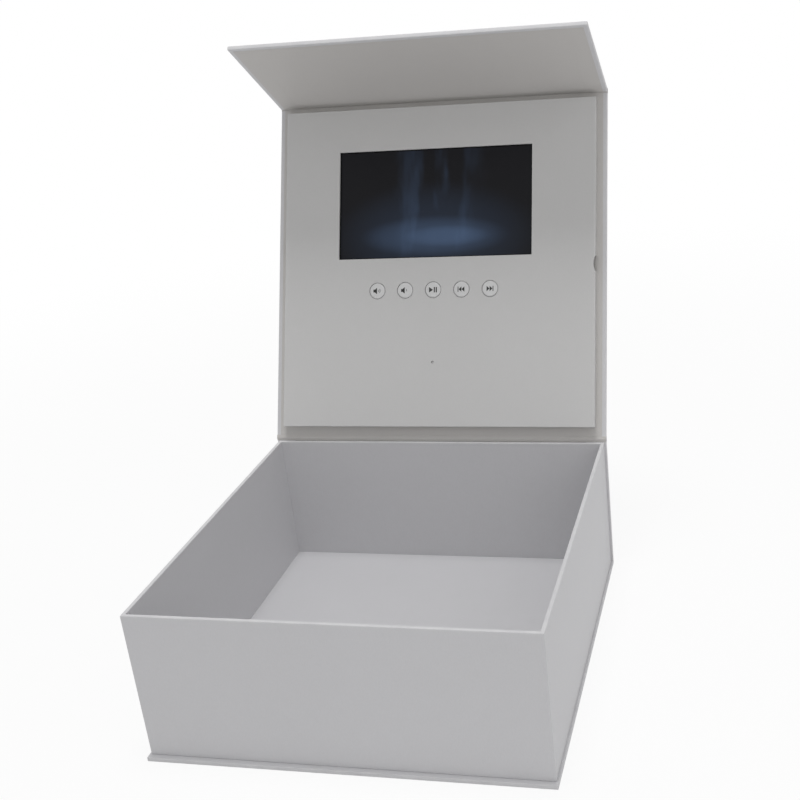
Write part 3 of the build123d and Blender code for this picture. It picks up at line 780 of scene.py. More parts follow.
@dataclass(frozen=True)
class Outline:
    """The edge of a covered board, with slightly rounded corners."""

    u: Flat
    v: Flat
    corner: float = 0.45
    edges: Edges = Edges.ALL
    steps: int = 4

    def path(self, inset: float) -> list[Flat]:
        """The line along the edge.

        Args:
            inset: how far it is drawn in, or out where this is below 0.

        Returns:
            Points in u and v, counter-clockwise seen from +w.
        """
        low_u, high_u = self.u[0] + inset, self.u[1] - inset
        low_v = self.v[0] + (0 if self.edges is Edges.NOT_START else inset)
        high_v = self.v[1] - (0 if self.edges is Edges.NOT_END else inset)
        r = max(self.corner - inset, 0.0)
        start, end = (low_v + r, high_v - r)
        left, right = (low_u + r, high_u - r)
        centres = ((right, start), (right, end), (left, end), (left, start))
        bends = [arc(r, self.steps, 90 * i - 90, 90 * i, centre) for i, centre in enumerate(centres)]
        if self.edges is Edges.NOT_START:
            return [(high_u, low_v), *bends[1], *bends[2], (low_u, low_v)]
        if self.edges is Edges.NOT_END:
            return [(low_u, high_v), *bends[3], *bends[0], (high_u, high_v)]
        return [point for bend in bends for point in bend]


def swept(draft: Draft, board: BoardFrame, outline: Outline, section: Sequence[Bend]) -> list[list[int]]:
    """Draws a section along an outline.

    Args:
        draft: the mesh.
        board: where the outline lies.
        outline: the edge.
        section: how far in, at what level and how rubbed each row of points is.

    Returns:
        The numbers of each row's points.
    """
    rows = [
        draft.row([board.at(u, v, w) for u, v in outline.path(inset)], fold) for inset, w, fold in section
    ]
    draft.loft(*rows, closed=outline.edges is Edges.ALL)
    return rows


def turned(
    name: str, board: BoardFrame, centre: Flat, profile: Sequence[Flat], steps: int,
) -> bpy.types.Object:
    """A closed shape turned about a line square to a board.

    Args:
        name: the piece's name.
        board: where it stands.
        centre: the line's u and v.
        profile: its radius and w, from one end of the line to the other.
        steps: points in each ring.

    Returns:
        The object.
    """
    draft = Draft()
    rings = [(arc(radius, steps, 0, 360, centre)[:-1], w) for radius, w in profile]
    draft.loft(*(draft.row([board.at(u, v, w) for u, v in ring]) for ring, w in rings), closed=True)
    return draft.build(name)


# ---- sections of folded paper
def case_edge() -> list[Bend]:
    """Paper folded round a case board's edge, from its outer face to its inner.

    Returns:
        Its section.
    """
    r, ease, flat = CASE_FOLD, CASE_FOLD + 0.2, CASE_FOLD + 1.4
    first, second = (r, r - HALF_CASE), (r, HALF_CASE - r)
    return [
        (flat, -HALF_CASE, 0.0), (ease, -HALF_CASE, 0.3), *rounded(r, -90, -180, first),
        *rounded(r, 180, 90, second), (ease, HALF_CASE, 0.3), (flat, HALF_CASE, 0.0),
        (TURN_IN, HALF_CASE, 0.0),
    ]


def lining_edge() -> list[Bend]:
    """A lining from its edge inwards. It is glued down past the turned-in paper, and sinks there.

    Returns:
        Its section.
    """
    turned_in, low = TURN_IN - LINING_MARGIN, LINED - SUNK
    return [
        (0.0, LINED - 0.05, 0.4), (0.05, LINED, 0.4), (0.4, LINED, 0.0), (turned_in - 0.5, LINED, 0.0),
        (turned_in + 0.1, LINED - 0.3 * SUNK, 0.0), (turned_in + 0.7, low, 0.0), (turned_in + 1.6, low, 0.0),
    ]


def covered_board(name: str, board: BoardFrame, outline: Outline) -> bpy.types.Object:
    """Covering paper of a case board with three free edges.

    Args:
        name: the piece's name.
        board: where it stands.
        outline: its edge.

    Returns:
        The sheet.
    """
    draft = Draft()
    draft.faces.append(tuple(swept(draft, board, outline, case_edge())[0][::-1]))
    return draft.build(name, board.facing(-1.0), PAPER)


# ---- what builds the pieces
@dataclass
class SubAssembly(ABC):
    """A part of the box that a maker would put together on its own."""

    palette: Palette
    body: ClassVar[Body] = Body.LID
    kept: ClassVar[dict[Slot, Sequence[str]]] = {}      # CAD nodes that keep their shape

    @abstractmethod
    def make(self) -> None:
        """Makes and dresses its own pieces."""

    def build(self) -> None:
        """Makes its pieces, and gives the CAD nodes that stay the finish of their slot."""
        self.make()
        for slot, nodes in self.kept.items():
            for name in nodes:
                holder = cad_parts[name]
                if not holder.material_slots:
                    holder.data.materials.append(None)
                for place in holder.material_slots:
                    place.material = self.palette.by_slot[slot]
                log.info("%s keeps its CAD shape, finished as %s", name, slot.value)

    def dress(
        self, piece: bpy.types.Object, slot: Slot, *replaced: str, material: bpy.types.Material | None = None,
    ) -> None:
        """Gives a piece its finish, the slot's own unless another is given, and hides the CAD nodes that it
        stands for.

        Args:
            piece: the object.
            slot: the record's material slot.
            replaced: the CAD nodes that it stands for.
            material: its finish, where it isn't the slot's own.
        """
        piece.data.materials.clear()
        piece.data.materials.append(material or self.palette.by_slot[slot])
        if replaced:
            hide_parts(*replaced)

    def hand_over(
        self, piece: bpy.types.Object, slot: Slot, *replaced: str,
        body: str = "", material: bpy.types.Material | None = None,
    ) -> None:
        """Dresses a finished piece and sets it on what carries it.

        Args:
            piece: the object.
            slot: the record's material slot.
            replaced: the CAD nodes that it stands for.
            body: the body that it moves with, where it isn't the sub-assembly's own.
            material: its finish, where it isn't the slot's own.
        """
        self.dress(piece, slot, *replaced, material=material)
        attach(piece, body or self.body.value)
        log.info("%s rides %s, %d faces", piece.name, body or self.body.value, len(piece.data.polygons))


@dataclass
class Tray(SubAssembly):
    """The deep tray: paper over four walls and their rim, boards, tape and liner under it."""

    base_top: float = 2.9
    wall: float = 2.55
    fold: float = 0.5
    corner: float = 0.4            # tight enough to cover the corners of the boards
    floor: float = 5.1
    liner: float = 0.12
    body = Body.TRAY
    kept = {
        Slot.GREYBOARD: [f"tray_{side}_board" for side in ("floor", "front", "back", "left", "right")],
        Slot.TAPE: ["corner_stays"],
        Slot.MAGNET: ["tray_magnets"],
    }

    def make(self) -> None:
        """Makes and dresses its own pieces."""
        self.hand_over(self._cover(), Slot.COVER, "tray_wrap")
        self.hand_over(self._liner(), Slot.COVER, "floor_liner")

    def _cover(self) -> bpy.types.Object:
        """One sheet: under the floor, up the outside, over the rim and down the inside.

        Returns:
            The sheet.
        """
        r, low, high = self.fold, self.base_top, RIM_Z
        crease, flat = high - r - 0.25, high - r - 2.0
        section = [
            (TURN_IN, low, 0.0), (r + 1.2, low, 0.0), *rounded(r, -90, -180, (r, low + r), 0.6),
            (0.0, low + 3.0, 0.0), (0.0, flat, 0.0), (0.0, crease, 0.3), *rounded(r, 180, 90, (r, high - r)),
            *rounded(r, 90, 0, (self.wall - r, high - r)), (self.wall, crease, 0.3), (self.wall, flat, 0.0),
            (self.wall, self.floor, 0.0),
        ]
        draft = Draft()
        swept(draft, UPRIGHT, Outline((-TRAY_HALF, TRAY_HALF), (-TRAY_HALF, TRAY_HALF), self.corner), section)
        return draft.build("tray_cover", Vector(), PAPER)

    def _liner(self) -> bpy.types.Object:
        """Floor sheet, pressed down a little along the walls.

        Returns:
            The sheet.
        """
        half, top = TRAY_HALF - self.wall, self.floor + PAPER
        section = [(0.0, top - 0.06, 0.0), (0.8, top - 0.03, 0.0), (3.0, top, 0.0)]
        draft = Draft()
        rows = swept(draft, UPRIGHT, Outline((-half, half), (-half, half), 0.1), section)
        draft.faces.append(tuple(rows[-1]))
        return draft.build("floor_sheet", Vector((0, 0, 1)), self.liner)


@dataclass
class CaseBack(SubAssembly):
    """Base and spine of the case: two covered boards at right angles."""

    base_front: float = -133.05
    body = Body.TRAY
    kept = {Slot.GREYBOARD: ["base_board", "spine_board"]}

    def make(self) -> None:
        """Makes and dresses its own pieces."""
        side = (-COVER_HALF, COVER_HALF)
        base = Outline(side, (self.base_front, TRAY_HALF), edges=Edges.NOT_END)
        self.hand_over(covered_board("base_cover", BASE, base), Slot.COVER, "base_wrap", "base_turn_in")
        spine = Outline(side, (0.0, RIM_Z), edges=Edges.NOT_END)
        self.hand_over(covered_board("spine_cover", SPINE, spine), Slot.COVER, "spine_wrap")


@dataclass
class LidCase(SubAssembly):
    """The lid board in its papers. Both ends run on into the paper hinges."""

    kept = {Slot.GREYBOARD: ["lid_board"]}

    def make(self) -> None:
        """Makes and dresses its own pieces."""
        cover = self._sheet("lid_cover", COVER_HALF, case_edge(), LID.facing(-1.0), PAPER)
        self.hand_over(cover, Slot.COVER, "lid_wrap")
        edge = lining_edge()
        inwards = [edge[5], *edge[3::-1]]
        lining = self._sheet("lid_lining_sheet", COVER_HALF - LINING_MARGIN, inwards, LID.facing(), LINING)
        self.hand_over(lining, Slot.LINING, "lid_lining")

    @staticmethod
    def _sheet(name: str, half: float, section: list[Bend], facing: Vector, thick: float) -> bpy.types.Object:
        """Paper that runs straight along the lid.

        Args:
            name: the piece's name.
            half: half its width.
            section: its right side, from the middle outwards and round; the left mirrors it.
            facing: the way that its largest face looks.
            thick: its thickness.

        Returns:
            The sheet.
        """
        right = [(half - inset, w, fold) for inset, w, fold in section]
        profile = [(-u, w, fold) for u, w, fold in reversed(right)] + right
        draft = Draft()
        draft.loft(*(
            [draft.row([LID.at(u, v, w)], fold)[0] for u, w, fold in profile]
            for v in (HINGE_GAP, LID_LENGTH - HINGE_GAP)
        ))
        return draft.build(name, facing, thick)


@dataclass
class FrontFlap(SubAssembly):
    """The flap on the lid's free edge, with two hidden magnets."""

    body = Body.FLAP
    kept = {Slot.GREYBOARD: ["flap_board"], Slot.MAGNET: ["flap_magnets"]}

    def make(self) -> None:
        """Makes and dresses its own pieces."""
        outline = Outline((-COVER_HALF, COVER_HALF), (HINGE_GAP, FLAP_LENGTH), edges=Edges.NOT_START)
        self.hand_over(covered_board("flap_cover", FLAP, outline), Slot.COVER, "flap_wrap")
        half = COVER_HALF - LINING_MARGIN
        inside = Outline((-half, half), (HINGE_GAP, FLAP_LENGTH - LINING_MARGIN), 0.3, Edges.NOT_START)
        draft = Draft()
        draft.faces.append(tuple(swept(draft, FLAP, inside, lining_edge())[-1]))
        self.hand_over(draft.build("flap_lining_sheet", FLAP.facing(), LINING), Slot.LINING, "flap_lining")


@dataclass
class PaperHinge(SubAssembly):
    """The creased paper between two boards: an inner and an outer sheet about one axis."""

    name: str
    board: BoardFrame              # whose origin is the axis
    bodies: tuple[Body, Body]
    along: float                   # direction across the hinge, from +Y towards +Z
    inner: Flat                    # the angles between which each sheet runs
    outer: Flat
    reaches: Flat                  # half the spans over which the inner and outer sheet bend
    radius: float = 2.47           # where it leaves the boards
    groove: float = 0.65           # how far it sinks between them
    thick: float = 0.2
    end_thick: float = 0.45        # where it is glued to the boards
    slope: float = 0.3             # share of its width that leads down into the groove
    board_end: float = 32.4        # half the angle that a board's end takes up
    board_radius: float = 1.99
    pitch: float = 5.0             # degrees between its lines of points
    tucks: Flat = (0.3, 0.55)      # how deep both faces of the tucked-in ends lie
    dish: float = 0.35             # and how much deeper at the axis

    def make(self) -> None:
        """Makes and dresses both sheets."""
        for side, angles, reach, slot in (
            ("inner", self.inner, self.reaches[0], Slot.LINING),
            ("outer", self.outer, self.reaches[1], Slot.COVER),
        ):
            name = f"{self.name}_hinge_{side}"
            step, middle = Vector((0.0, *self._spoke(self.along, reach))), self._place(0.0, (0.0, 0.0))
            sheet = self._sheet(f"{name}_paper", angles)
            self.dress(sheet, slot, name)
            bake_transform(sheet)

    def _sheet(self, name: str, angles: Flat) -> bpy.types.Object:
        """One sheet, thicker where it is glued down, with its tucked-in ends.

        Args:
            name: the piece's name.
            angles: where it begins and ends.

        Returns:
            The sheet.
        """
        span = angles[1] - angles[0]
        steps = max(round(span / self.pitch), 14)
        band, folds, rim = [], [], [self._spoke(angles[0] - self.board_end, self.board_radius)]
        for i in range(steps + 1):
            angle = angles[0] + span * i / steps
            off_end = min(i, steps - i) / steps
            rise = min(off_end / self.slope, 1.0)
            radius = self.radius - self.groove * rise * rise * (3.0 - 2.0 * rise)
            depth = self.thick + (self.end_thick - self.thick) * (1.0 - rise)
            band.append((self._spoke(angle, radius), self._spoke(angle, radius - depth)))
            folds.append(max(0.0, 1.0 - off_end * 8.0))
            rim.append(self._spoke(angle, radius - depth / 2))
        rim.append(self._spoke(angles[1] + self.board_end, self.board_radius))
        draft = Draft()
        rings = []
        for x in (-COVER_HALF, COVER_HALF):
            outside = [draft.row([self._place(x, pair[0])], fold)[0] for pair, fold in zip(band, folds)]
            inside = draft.row([self._place(x, pair[1]) for pair in band])
            rings.append(outside + inside[::-1])
            draft.loft(outside, inside)
        draft.loft(*rings, closed=True)
        for side in (-1, 1):
            self._tuck(draft, side, rim)
        return draft.build(name)

    def _tuck(self, draft: Draft, side: int, rim: Sequence[Flat]) -> None:
        """Draws the paper tucked in at one end of the fold: a thin plate from the axis to the sheet.

        Args:
            draft: the sheet's mesh.
            side: -1 for the left end, 1 for the right.
            rim: the plate's edge, from the axis.
        """
        leaves = []
        for depth in self.tucks:
            hub = draft.row([self._place(side * (COVER_HALF - depth - self.dish), (0.0, 0.0))])
            leaves.append(hub + draft.row([self._place(side * (COVER_HALF - depth), spot) for spot in rim]))
        for hub, *edge in leaves:
            draft.faces += [(hub, edge[i], edge[i + 1]) for i in range(len(edge) - 1)]
        draft.loft(*leaves, closed=True)

    def _place(self, x: float, spot: Flat) -> Vector:
        """The point at x, and at spot from the axis."""
        return Vector((x, self.board.y + spot[0], self.board.z + spot[1]))

    @staticmethod
    def _spoke(angle: float, radius: float) -> Flat:
        """A point at this angle in degrees and this distance from the axis."""
        return (cos(radians(angle)) * radius, sin(radians(angle)) * radius)


# ---- repeated parts
class Recipe(Graph, ABC):
    """A Geometry Nodes tree with named sizes, made into plain mesh."""

    crease: ClassVar[float] = 50.0     # edges sharper than this stay sharp

    def __init__(self, name: str, sizes: Mapping[str, float | int]) -> None:
        """Starts the tree.

        Args:
            name: the tree's and the piece's name.
            sizes: its inputs and their values, whole numbers for counts, lengths in millimetres.
        """
        super().__init__(bpy.data.node_groups.new(name, "GeometryNodeTree"))
        self.name, self.sizes = name, sizes
        face = self.tree.interface
        for size, value in sizes.items():
            kind = "NodeSocketInt" if isinstance(value, int) else "NodeSocketFloat"
            face.new_socket(name=size, in_out="INPUT", socket_type=kind)
        face.new_socket(name="Geometry", in_out="OUTPUT", socket_type="NodeSocketGeometry")
        self.given = self.add("NodeGroupInput")

    def size(self, name: str) -> Socket:
        """One of the named inputs. Lengths come in metres."""
        return self.given.other(name)

    def vector(self, x: object = 0.0, y: object = 0.0, z: object = 0.0) -> Socket:
        """A vector of three values or sockets."""
        return self.add("ShaderNodeCombineXYZ", feeds={0: x, 1: y, 2: z})

    def row(self, count: Socket, pitch: Socket, first: Socket) -> Socket:
        """Points in a row along X.

        Args:
            count: how many.
            pitch: from one to the next.
            first: where the middle of the row is.

        Returns:
            The points.
        """
        half = self.vector(pitch * (count - 1.0) * -0.5)
        start = self.add("ShaderNodeVectorMath", {"operation": "ADD"}, {0: half, 1: first})
        feeds = {"Count": count, "Start Location": start, "Offset": self.vector(pitch)}
        return self.add("GeometryNodeMeshLine", {"mode": "OFFSET"}, feeds)

    def copies(self, points: Socket, shape: Socket, **turn: Socket) -> Socket:
        """The shape on each point, with its Rotation where that is given."""
        return self.add("GeometryNodeInstanceOnPoints", feeds={"Points": points, "Instance": shape, **turn})

    @abstractmethod
    def shape(self) -> Socket:
        """The finished geometry."""

    def make(self, place: Matrix, material: bpy.types.Material) -> bpy.types.Object:
        """Ends the tree and turns its result into a plain mesh.

        Args:
            place: where its mesh goes.
            material: its finish.

        Returns:
            The object, at the origin.
        """
        real = self.add("GeometryNodeRealizeInstances", feeds={0: self.shape()})
        dressed = self.add("GeometryNodeSetMaterial", feeds={"Geometry": real, "Material": material})
        self.add("NodeGroupOutput", feeds={0: dressed})
        piece = bpy.data.objects.new(self.name, bpy.data.meshes.new(self.name))
        bpy.context.collection.objects.link(piece)
        modifier = piece.modifiers.new(self.name, "NODES")
        modifier.node_group = self.tree
        for item in self.tree.interface.items_tree:
            if item.in_out == "INPUT":
                value = self.sizes[item.name]
                modifier[item.identifier] = value if isinstance(value, int) else value * MM
        settle(piece)
        piece.data.transform(place)
        smooth(piece.data, self.crease)
        return piece


class RingRow(Recipe):
    """Rolled rings on one line, such as the lips of the button holes."""

    def shape(self) -> Socket:
        """The rings, about the middle one.

        Returns:
            Their geometry.
        """
        loop, bead = (
            self.add("GeometryNodeCurvePrimitiveCircle", feeds={"Resolution": steps, "Radius": radius})
            for steps, radius in ((56, self.size("Radius")), (8, self.size("Lip")))
        )
        ring = self.add("GeometryNodeCurveToMesh", feeds={"Curve": loop, "Profile Curve": bead})
        return self.copies(self.row(self.size("Count"), self.size("Pitch"), self.vector()), ring)


class ChipLegs(Recipe):
    """Bent metal legs along the sides of a package, on as many sides as are asked for."""

    def shape(self) -> Socket:
        """The legs, each a foot, a shin and a knee, round the package's middle.

        Returns:
            Their geometry.
        """
        width, reach, height = (self.size(name) for name in ("Leg Width", "Reach", "Height"))
        leg = self.add("GeometryNodeJoinGeometry")
        for sides, at in (
            ((width, reach * 0.6, width * 0.5), (0.0, 0.0, 0.0)),
            ((width, width * 0.5, height), (0.0, reach * -0.3, height * 0.5)),
            ((width, reach * 0.5, width * 0.5), (0.0, reach * -0.5, height)),
        ):
            block = self.add("GeometryNodeMeshCube", feeds={"Size": self.vector(*sides)})
            feeds = {"Geometry": block, "Translation": self.vector(*at)}
            self.feed(leg.node.inputs[0], self.add("GeometryNodeTransform", feeds=feeds))
        away = self.vector(0.0, self.size("Half Width") + reach * 0.6, width * 0.25)
        side = self.copies(self.row(self.size("Legs"), self.size("Pitch"), away), leg)
        feeds = {"Count": self.size("Sides"), "Offset": (0.0, 0.0, 0.0)}
        hub = self.add("GeometryNodeMeshLine", {"mode": "OFFSET"}, feeds)
        angle = self.add("GeometryNodeInputIndex") * (2 * pi) / self.size("Sides")
        return self.copies(hub, side, Rotation=self.vector(0.0, 0.0, angle))


# ---- the raised panel
@dataclass(frozen=True)
class PanelOutline(Outline):
    """The panel's edge, with the half-moon for the charging plug in its right side."""

    notch_v: float = 131.0
    notch_length: float = 12.0
    notch_depth: float = 1.5
    notch_steps: int = 16
    notch_fold: float = 0.35       # its fold is this much narrower
    notch_lap: float = 0.12        # paper over the board's cut

    def notch(self) -> range:
        """The numbers of the path's points that lie in the half-moon."""
        return range(self.steps + 1, self.steps + self.notch_steps + 2)

    def path(self, inset: float) -> list[Flat]:
        """The line along the edge.

        Args:
            inset: how far it is drawn in.

        Returns:
            Points in u and v, counter-clockwise seen from +w.
        """
        radius = (self.notch_length ** 2 / 4 + self.notch_depth ** 2) / (2 * self.notch_depth)
        centre = (self.u[1] - self.notch_depth + radius, self.notch_v)
        to_edge = centre[0] - (self.u[1] - inset)
        radius += inset - min(inset, self.notch_fold) - self.notch_lap
        half = degrees(atan2(sqrt(radius ** 2 - to_edge ** 2), to_edge))
        plain = super().path(inset)
        bite = arc(radius, self.notch_steps, 180 + half, 180 - half, centre)
        return plain[:self.steps + 1] + bite + plain[self.steps + 1:]


@dataclass
class VideoPanel(SubAssembly):
    """The raised panel: its cover with window and holes, the screen's pane, and all it holds."""

    outline: PanelOutline = PanelOutline((-123.25, 123.25), (8.5, 256.5), 0.4)
    surface: float = 8.1
    face_back: float = 6.4
    fold: float = 0.5
    window: Outline = Outline((-78.8, 74.8), (138.8, 223.2), 0.3)
    window_fold: float = 0.4
    hole: float = 6.7
    pinhole: float = 1.0
    sensor: float = 1.5            # radius of the light sensor below its lens
    sensor_v: float = 58.0
    lamp: Flat = (122.8, 3.05)     # v and w of the hole for the charging lamp
    lamp_hole: float = 0.7
    lip: float = 0.22
    pane: Outline = Outline((-83.8, 79.8), (131.7, 230.3), 0.5)
    pane_w: Flat = (4.9, 6.05)
    chips_v: float = 52.0
    kept = {
        Slot.GREYBOARD: ["panel_frame", "panel_face"],
        Slot.FOAM: ["foam_spacer", "foam_pads"],
        Slot.STEEL: ["lcd_frame", "speaker_frame", "usb_socket"],
        Slot.GUIDE: ["light_guide"],
        Slot.CIRCUIT: ["main_board", "button_board", "charge_board"],
        Slot.PLASTIC: ["board_chips", "tact_switches"],
        Slot.LENS: ["charge_lamp"],
        Slot.POUCH: ["battery"],
        Slot.MAGNET: ["speaker_magnet"],
        Slot.CONE: ["speaker_cone"],
        Slot.RIBBON: ["flat_cables"],
        Slot.WIRE: ["battery_leads", "speaker_leads", "charge_leads"],
    }

    def make(self) -> None:
        """Makes and dresses its own pieces."""
        # paper is the panel's darker copy of the covering paper, which holds painted shade from the flap; the
        # button hole lips share it.
        paper, tinned = self.palette.panel, self.palette.contact
        self.hand_over(self._cover(), Slot.COVER, "panel_wrap", material=paper)
        self.hand_over(self._pane(), Slot.SCREEN, "lcd_glass")
        self.hand_over(self._lens(), Slot.LENS, "light_sensor")
        radius = self.hole - self.lip * 0.6
        lips = {"Count": len(BUTTONS_U), "Pitch": BUTTON_PITCH, "Radius": radius, "Lip": self.lip}
        place = LID.matrix(MODULE_U, BUTTON_V, self.surface - self.lip)
        self.hand_over(RingRow("button_hole_lips", lips).make(place, paper), Slot.COVER, material=paper)
        for name, u, *values in (
            ("processor_legs", -62.0, 14, 4, 0.8, 7.0, 0.9), ("memory_legs", -38.0, 8, 2, 1.27, 9.0, 0.8),
        ):
            sizes = dict(zip(("Legs", "Sides", "Pitch", "Half Width", "Reach"), values))
            legs = ChipLegs(name, {"Leg Width": 0.3, "Height": 0.5, **sizes})
            piece = legs.make(LID.matrix(u, self.chips_v, CIRCUIT_W), tinned)
            self.hand_over(piece, Slot.STEEL, material=tinned)

    def _cover(self) -> bpy.types.Object:
        """One sheet over the panel's face and down its four sides, folded in at the window.

        Returns:
            The sheet.
        """
        draft = Draft()
        top, r, f = self.surface, self.fold, self.window_fold
        notch = self.outline.notch()
        foot, knee = (
            draft.row([LID.at(u, v, w) for u, v in self.outline.path(0.0)]) for w in (LINED, self.face_back)
        )
        for i in range(len(foot)):
            side = (foot[i - 1], foot[i], knee[i], knee[i - 1])
            if i == notch[0]:
                ring = arc(self.lamp_hole, 20, 0, 360, self.lamp)[:-1]
                lamp = draft.row([LID.at(self.outline.u[1], v, w) for v, w in ring])
                draft.fill_round(side, [lamp], Vector((1, 0, 0)))
            elif i not in notch:
                draft.faces.append(side)
        edge = [
            (0.0, self.face_back, 0.3), *rounded(r, 180, 90, (r, top - r), steps=5),
            (r + 0.25, top, 0.3), (r + 1.6, top, 0.0),
        ]
        sill = [
            (-f - 1.6, top, 0.0), (-f - 0.2, top, 0.3), *rounded(f, 90, 0, (-f, top - f)),
            (0.0, self.face_back, 0.0),
        ]
        border = swept(draft, LID, self.outline, edge)[-1]
        openings = [swept(draft, LID, self.window, sill)[0]]
        holes = [(u, BUTTON_V, self.hole, 64) for u in BUTTONS_U]
        for u, v, radius, steps in [*holes, (MODULE_U, self.sensor_v, self.pinhole, 20)]:
            ring = arc(radius, steps, 0, 360, (u, v))[:-1]
            openings.append(draft.row([LID.at(*spot, top) for spot in ring]))
        draft.fill_round(border, openings, LID.facing())
        return draft.build("panel_cover", LID.facing(), PAPER)

    def _pane(self) -> bpy.types.Object:
        """The screen's pane, with its front edges ground.

        Returns:
            The pane.
        """
        low, high = self.pane_w
        section = [(0.12, low), (0.0, low + 0.12), (0.0, high - 0.2), (0.06, high - 0.06), (0.2, high)]
        draft = Draft()
        rows = swept(draft, LID, self.pane, [(*corner, 0.0) for corner in section])
        draft.faces += [tuple(rows[0][::-1]), tuple(rows[-1])]
        return draft.build("screen_pane")

    def _lens(self) -> bpy.types.Object:
        """The light sensor, with a domed lens that stands in its pinhole.

        Returns:
            The sensor.
        """
        stem, top, dome = self.pinhole - 0.1, self.surface - 0.3, 0.45
        profile = [
            (0.0, CIRCUIT_W), (self.sensor, CIRCUIT_W), (self.sensor, 5.6), (stem, 6.2), (stem, top - dome),
            *((stem * c, top - dome + dome * s) for c, s in arc(1.0, 5, 0, 90)[1:-1]), (0.0, top),
        ]
        return turned("light_sensor_lens", LID, (MODULE_U, self.sensor_v), profile, 24)


# ---- buttons
def band(radius: float, centre: float = 0.15, thick: float = 0.34, spread: float = 42.0) -> list[Flat]:
    """A sound wave: a short band on a circle."""
    back = arc(radius + thick, 10, spread, -spread, (centre, 0.0))
    return arc(radius, 10, -spread, spread, (centre, 0.0)) + back


def bar(middle: float, width: float, tall: float) -> list[Flat]:
    """An upright bar."""
    low, high = middle - width / 2, middle + width / 2
    return [(low, -tall), (high, -tall), (high, tall), (low, tall)]


def wedge(back: float, tip: float, tall: float) -> list[Flat]:
    """A triangle from its upright back to its tip."""
    corners = [(back, -tall), (tip, 0.0), (back, tall)]
    return corners if tip > back else corners[::-1]


HORN = [(-3.1, -1.1), (-1.9, -1.1), (-0.2, -2.5), (-0.2, 2.5), (-1.9, 1.1), (-3.1, 1.1)]
MARKS: dict[Key, list[list[Flat]]] = {
    Key.VOLUME_UP: [HORN, band(1.0), band(2.05)],
    Key.VOLUME_DOWN: [HORN, band(1.0)],
    Key.PLAY_PAUSE: [wedge(-3.1, 0.0, 2.1), bar(1.15, 0.9, 2.05), bar(2.7, 0.9, 2.05)],
    Key.PREVIOUS: [bar(-2.5, 0.6, 1.95), wedge(0.15, -2.05, 2.0), wedge(2.5, 0.2, 2.0)],
    Key.NEXT: [wedge(-2.5, -0.2, 2.0), wedge(-0.15, 2.05, 2.0), bar(2.5, 0.6, 1.95)],
}


@dataclass
class ButtonRow(SubAssembly):
    """Five flanged caps with a printed mark each, over their switches' stems."""

    cap: float = 6.1
    flange: float = 7.5
    flange_w: Flat = (5.7, 6.3)
    top: float = 8.4
    print_w: Flat = (8.38, 8.45)   # from just in the cap to the print's face
    kept = {Slot.PLASTIC: [f"{key.value}_plunger" for key in Key]}

    def make(self) -> None:
        """Makes and dresses its own pieces."""
        for u, key in zip(BUTTONS_U, Key):
            body = f"{key.value}_key"
            cap = turned(f"{key.value}_cap", LID, (u, BUTTON_V), self._profile(), 56)
            self.hand_over(cap, Slot.CAP, f"{key.value}_button", body=body)
            self.hand_over(self._mark(key, u), Slot.PLASTIC, body=body, material=self.palette.ink)

    def _profile(self) -> list[Flat]:
        """A cap with a soft shoulder and a flat middle, and its flange.

        Returns:
            Radius and level of its points, from below.
        """
        low, high = self.flange_w
        cap, rim, top = self.cap, self.flange, self.top
        return [
            (0.0, low), (rim - 0.15, low), (rim, low + 0.12), (rim, high - 0.1), (rim - 0.1, high),
            (cap + 0.15, high), (cap, high + 0.15), (cap, top - 0.8), (cap - 0.08, top - 0.52),
            (cap - 0.26, top - 0.3), (cap - 0.52, top - 0.14), (cap - 0.9, top - 0.04), (cap - 1.5, top),
            (0.0, top),
        ]

    def _mark(self, key: Key, u: float) -> bpy.types.Object:
        """The key's mark, a raised print a few hundredths high.

        Args:
            key: the button.
            u: where its middle is.

        Returns:
            The object.
        """
        draft = Draft()
        for shape in MARKS[key]:
            low, high = (draft.row([LID.at(u + a, BUTTON_V + b, w) for a, b in shape]) for w in self.print_w)
            draft.loft(low, high, closed=True)
            draft.faces += [tuple(low[::-1]), tuple(high)]
        return draft.build(f"{key.value}_mark")


# ---- floor, light and camera
def seen_plainly(graph: Graph) -> Socket:
    """1 for a ray that shows the surroundings, 0 for one that gathers light from them."""
    paths = graph.add("ShaderNodeLightPath", output="Is Camera Ray")
    return paths.larger(paths.other("Is Glossy Ray")).larger(paths.other("Is Transmission Ray"))


@dataclass(frozen=True)
class Lamp:
    """A square soft lamp that looks at the box. Its place and side are in metres, its power in watts."""

    name: str
    at: tuple[float, float, float]
    side: float
    power: float
    aim: ClassVar[Vector] = Vector((0.0, 0.05, 0.15))

    def hang(self) -> None:
        """Adds it to the scene."""
        data = bpy.data.lights.new(self.name, "AREA")
        data.shape, data.size, data.energy = "SQUARE", self.side, self.power
        lamp = bpy.data.objects.new(self.name, data)
        bpy.context.collection.objects.link(lamp)
        lamp.location = self.at
        lamp.rotation_euler = (self.aim - lamp.location).to_track_quat("-Z", "Y").to_euler()


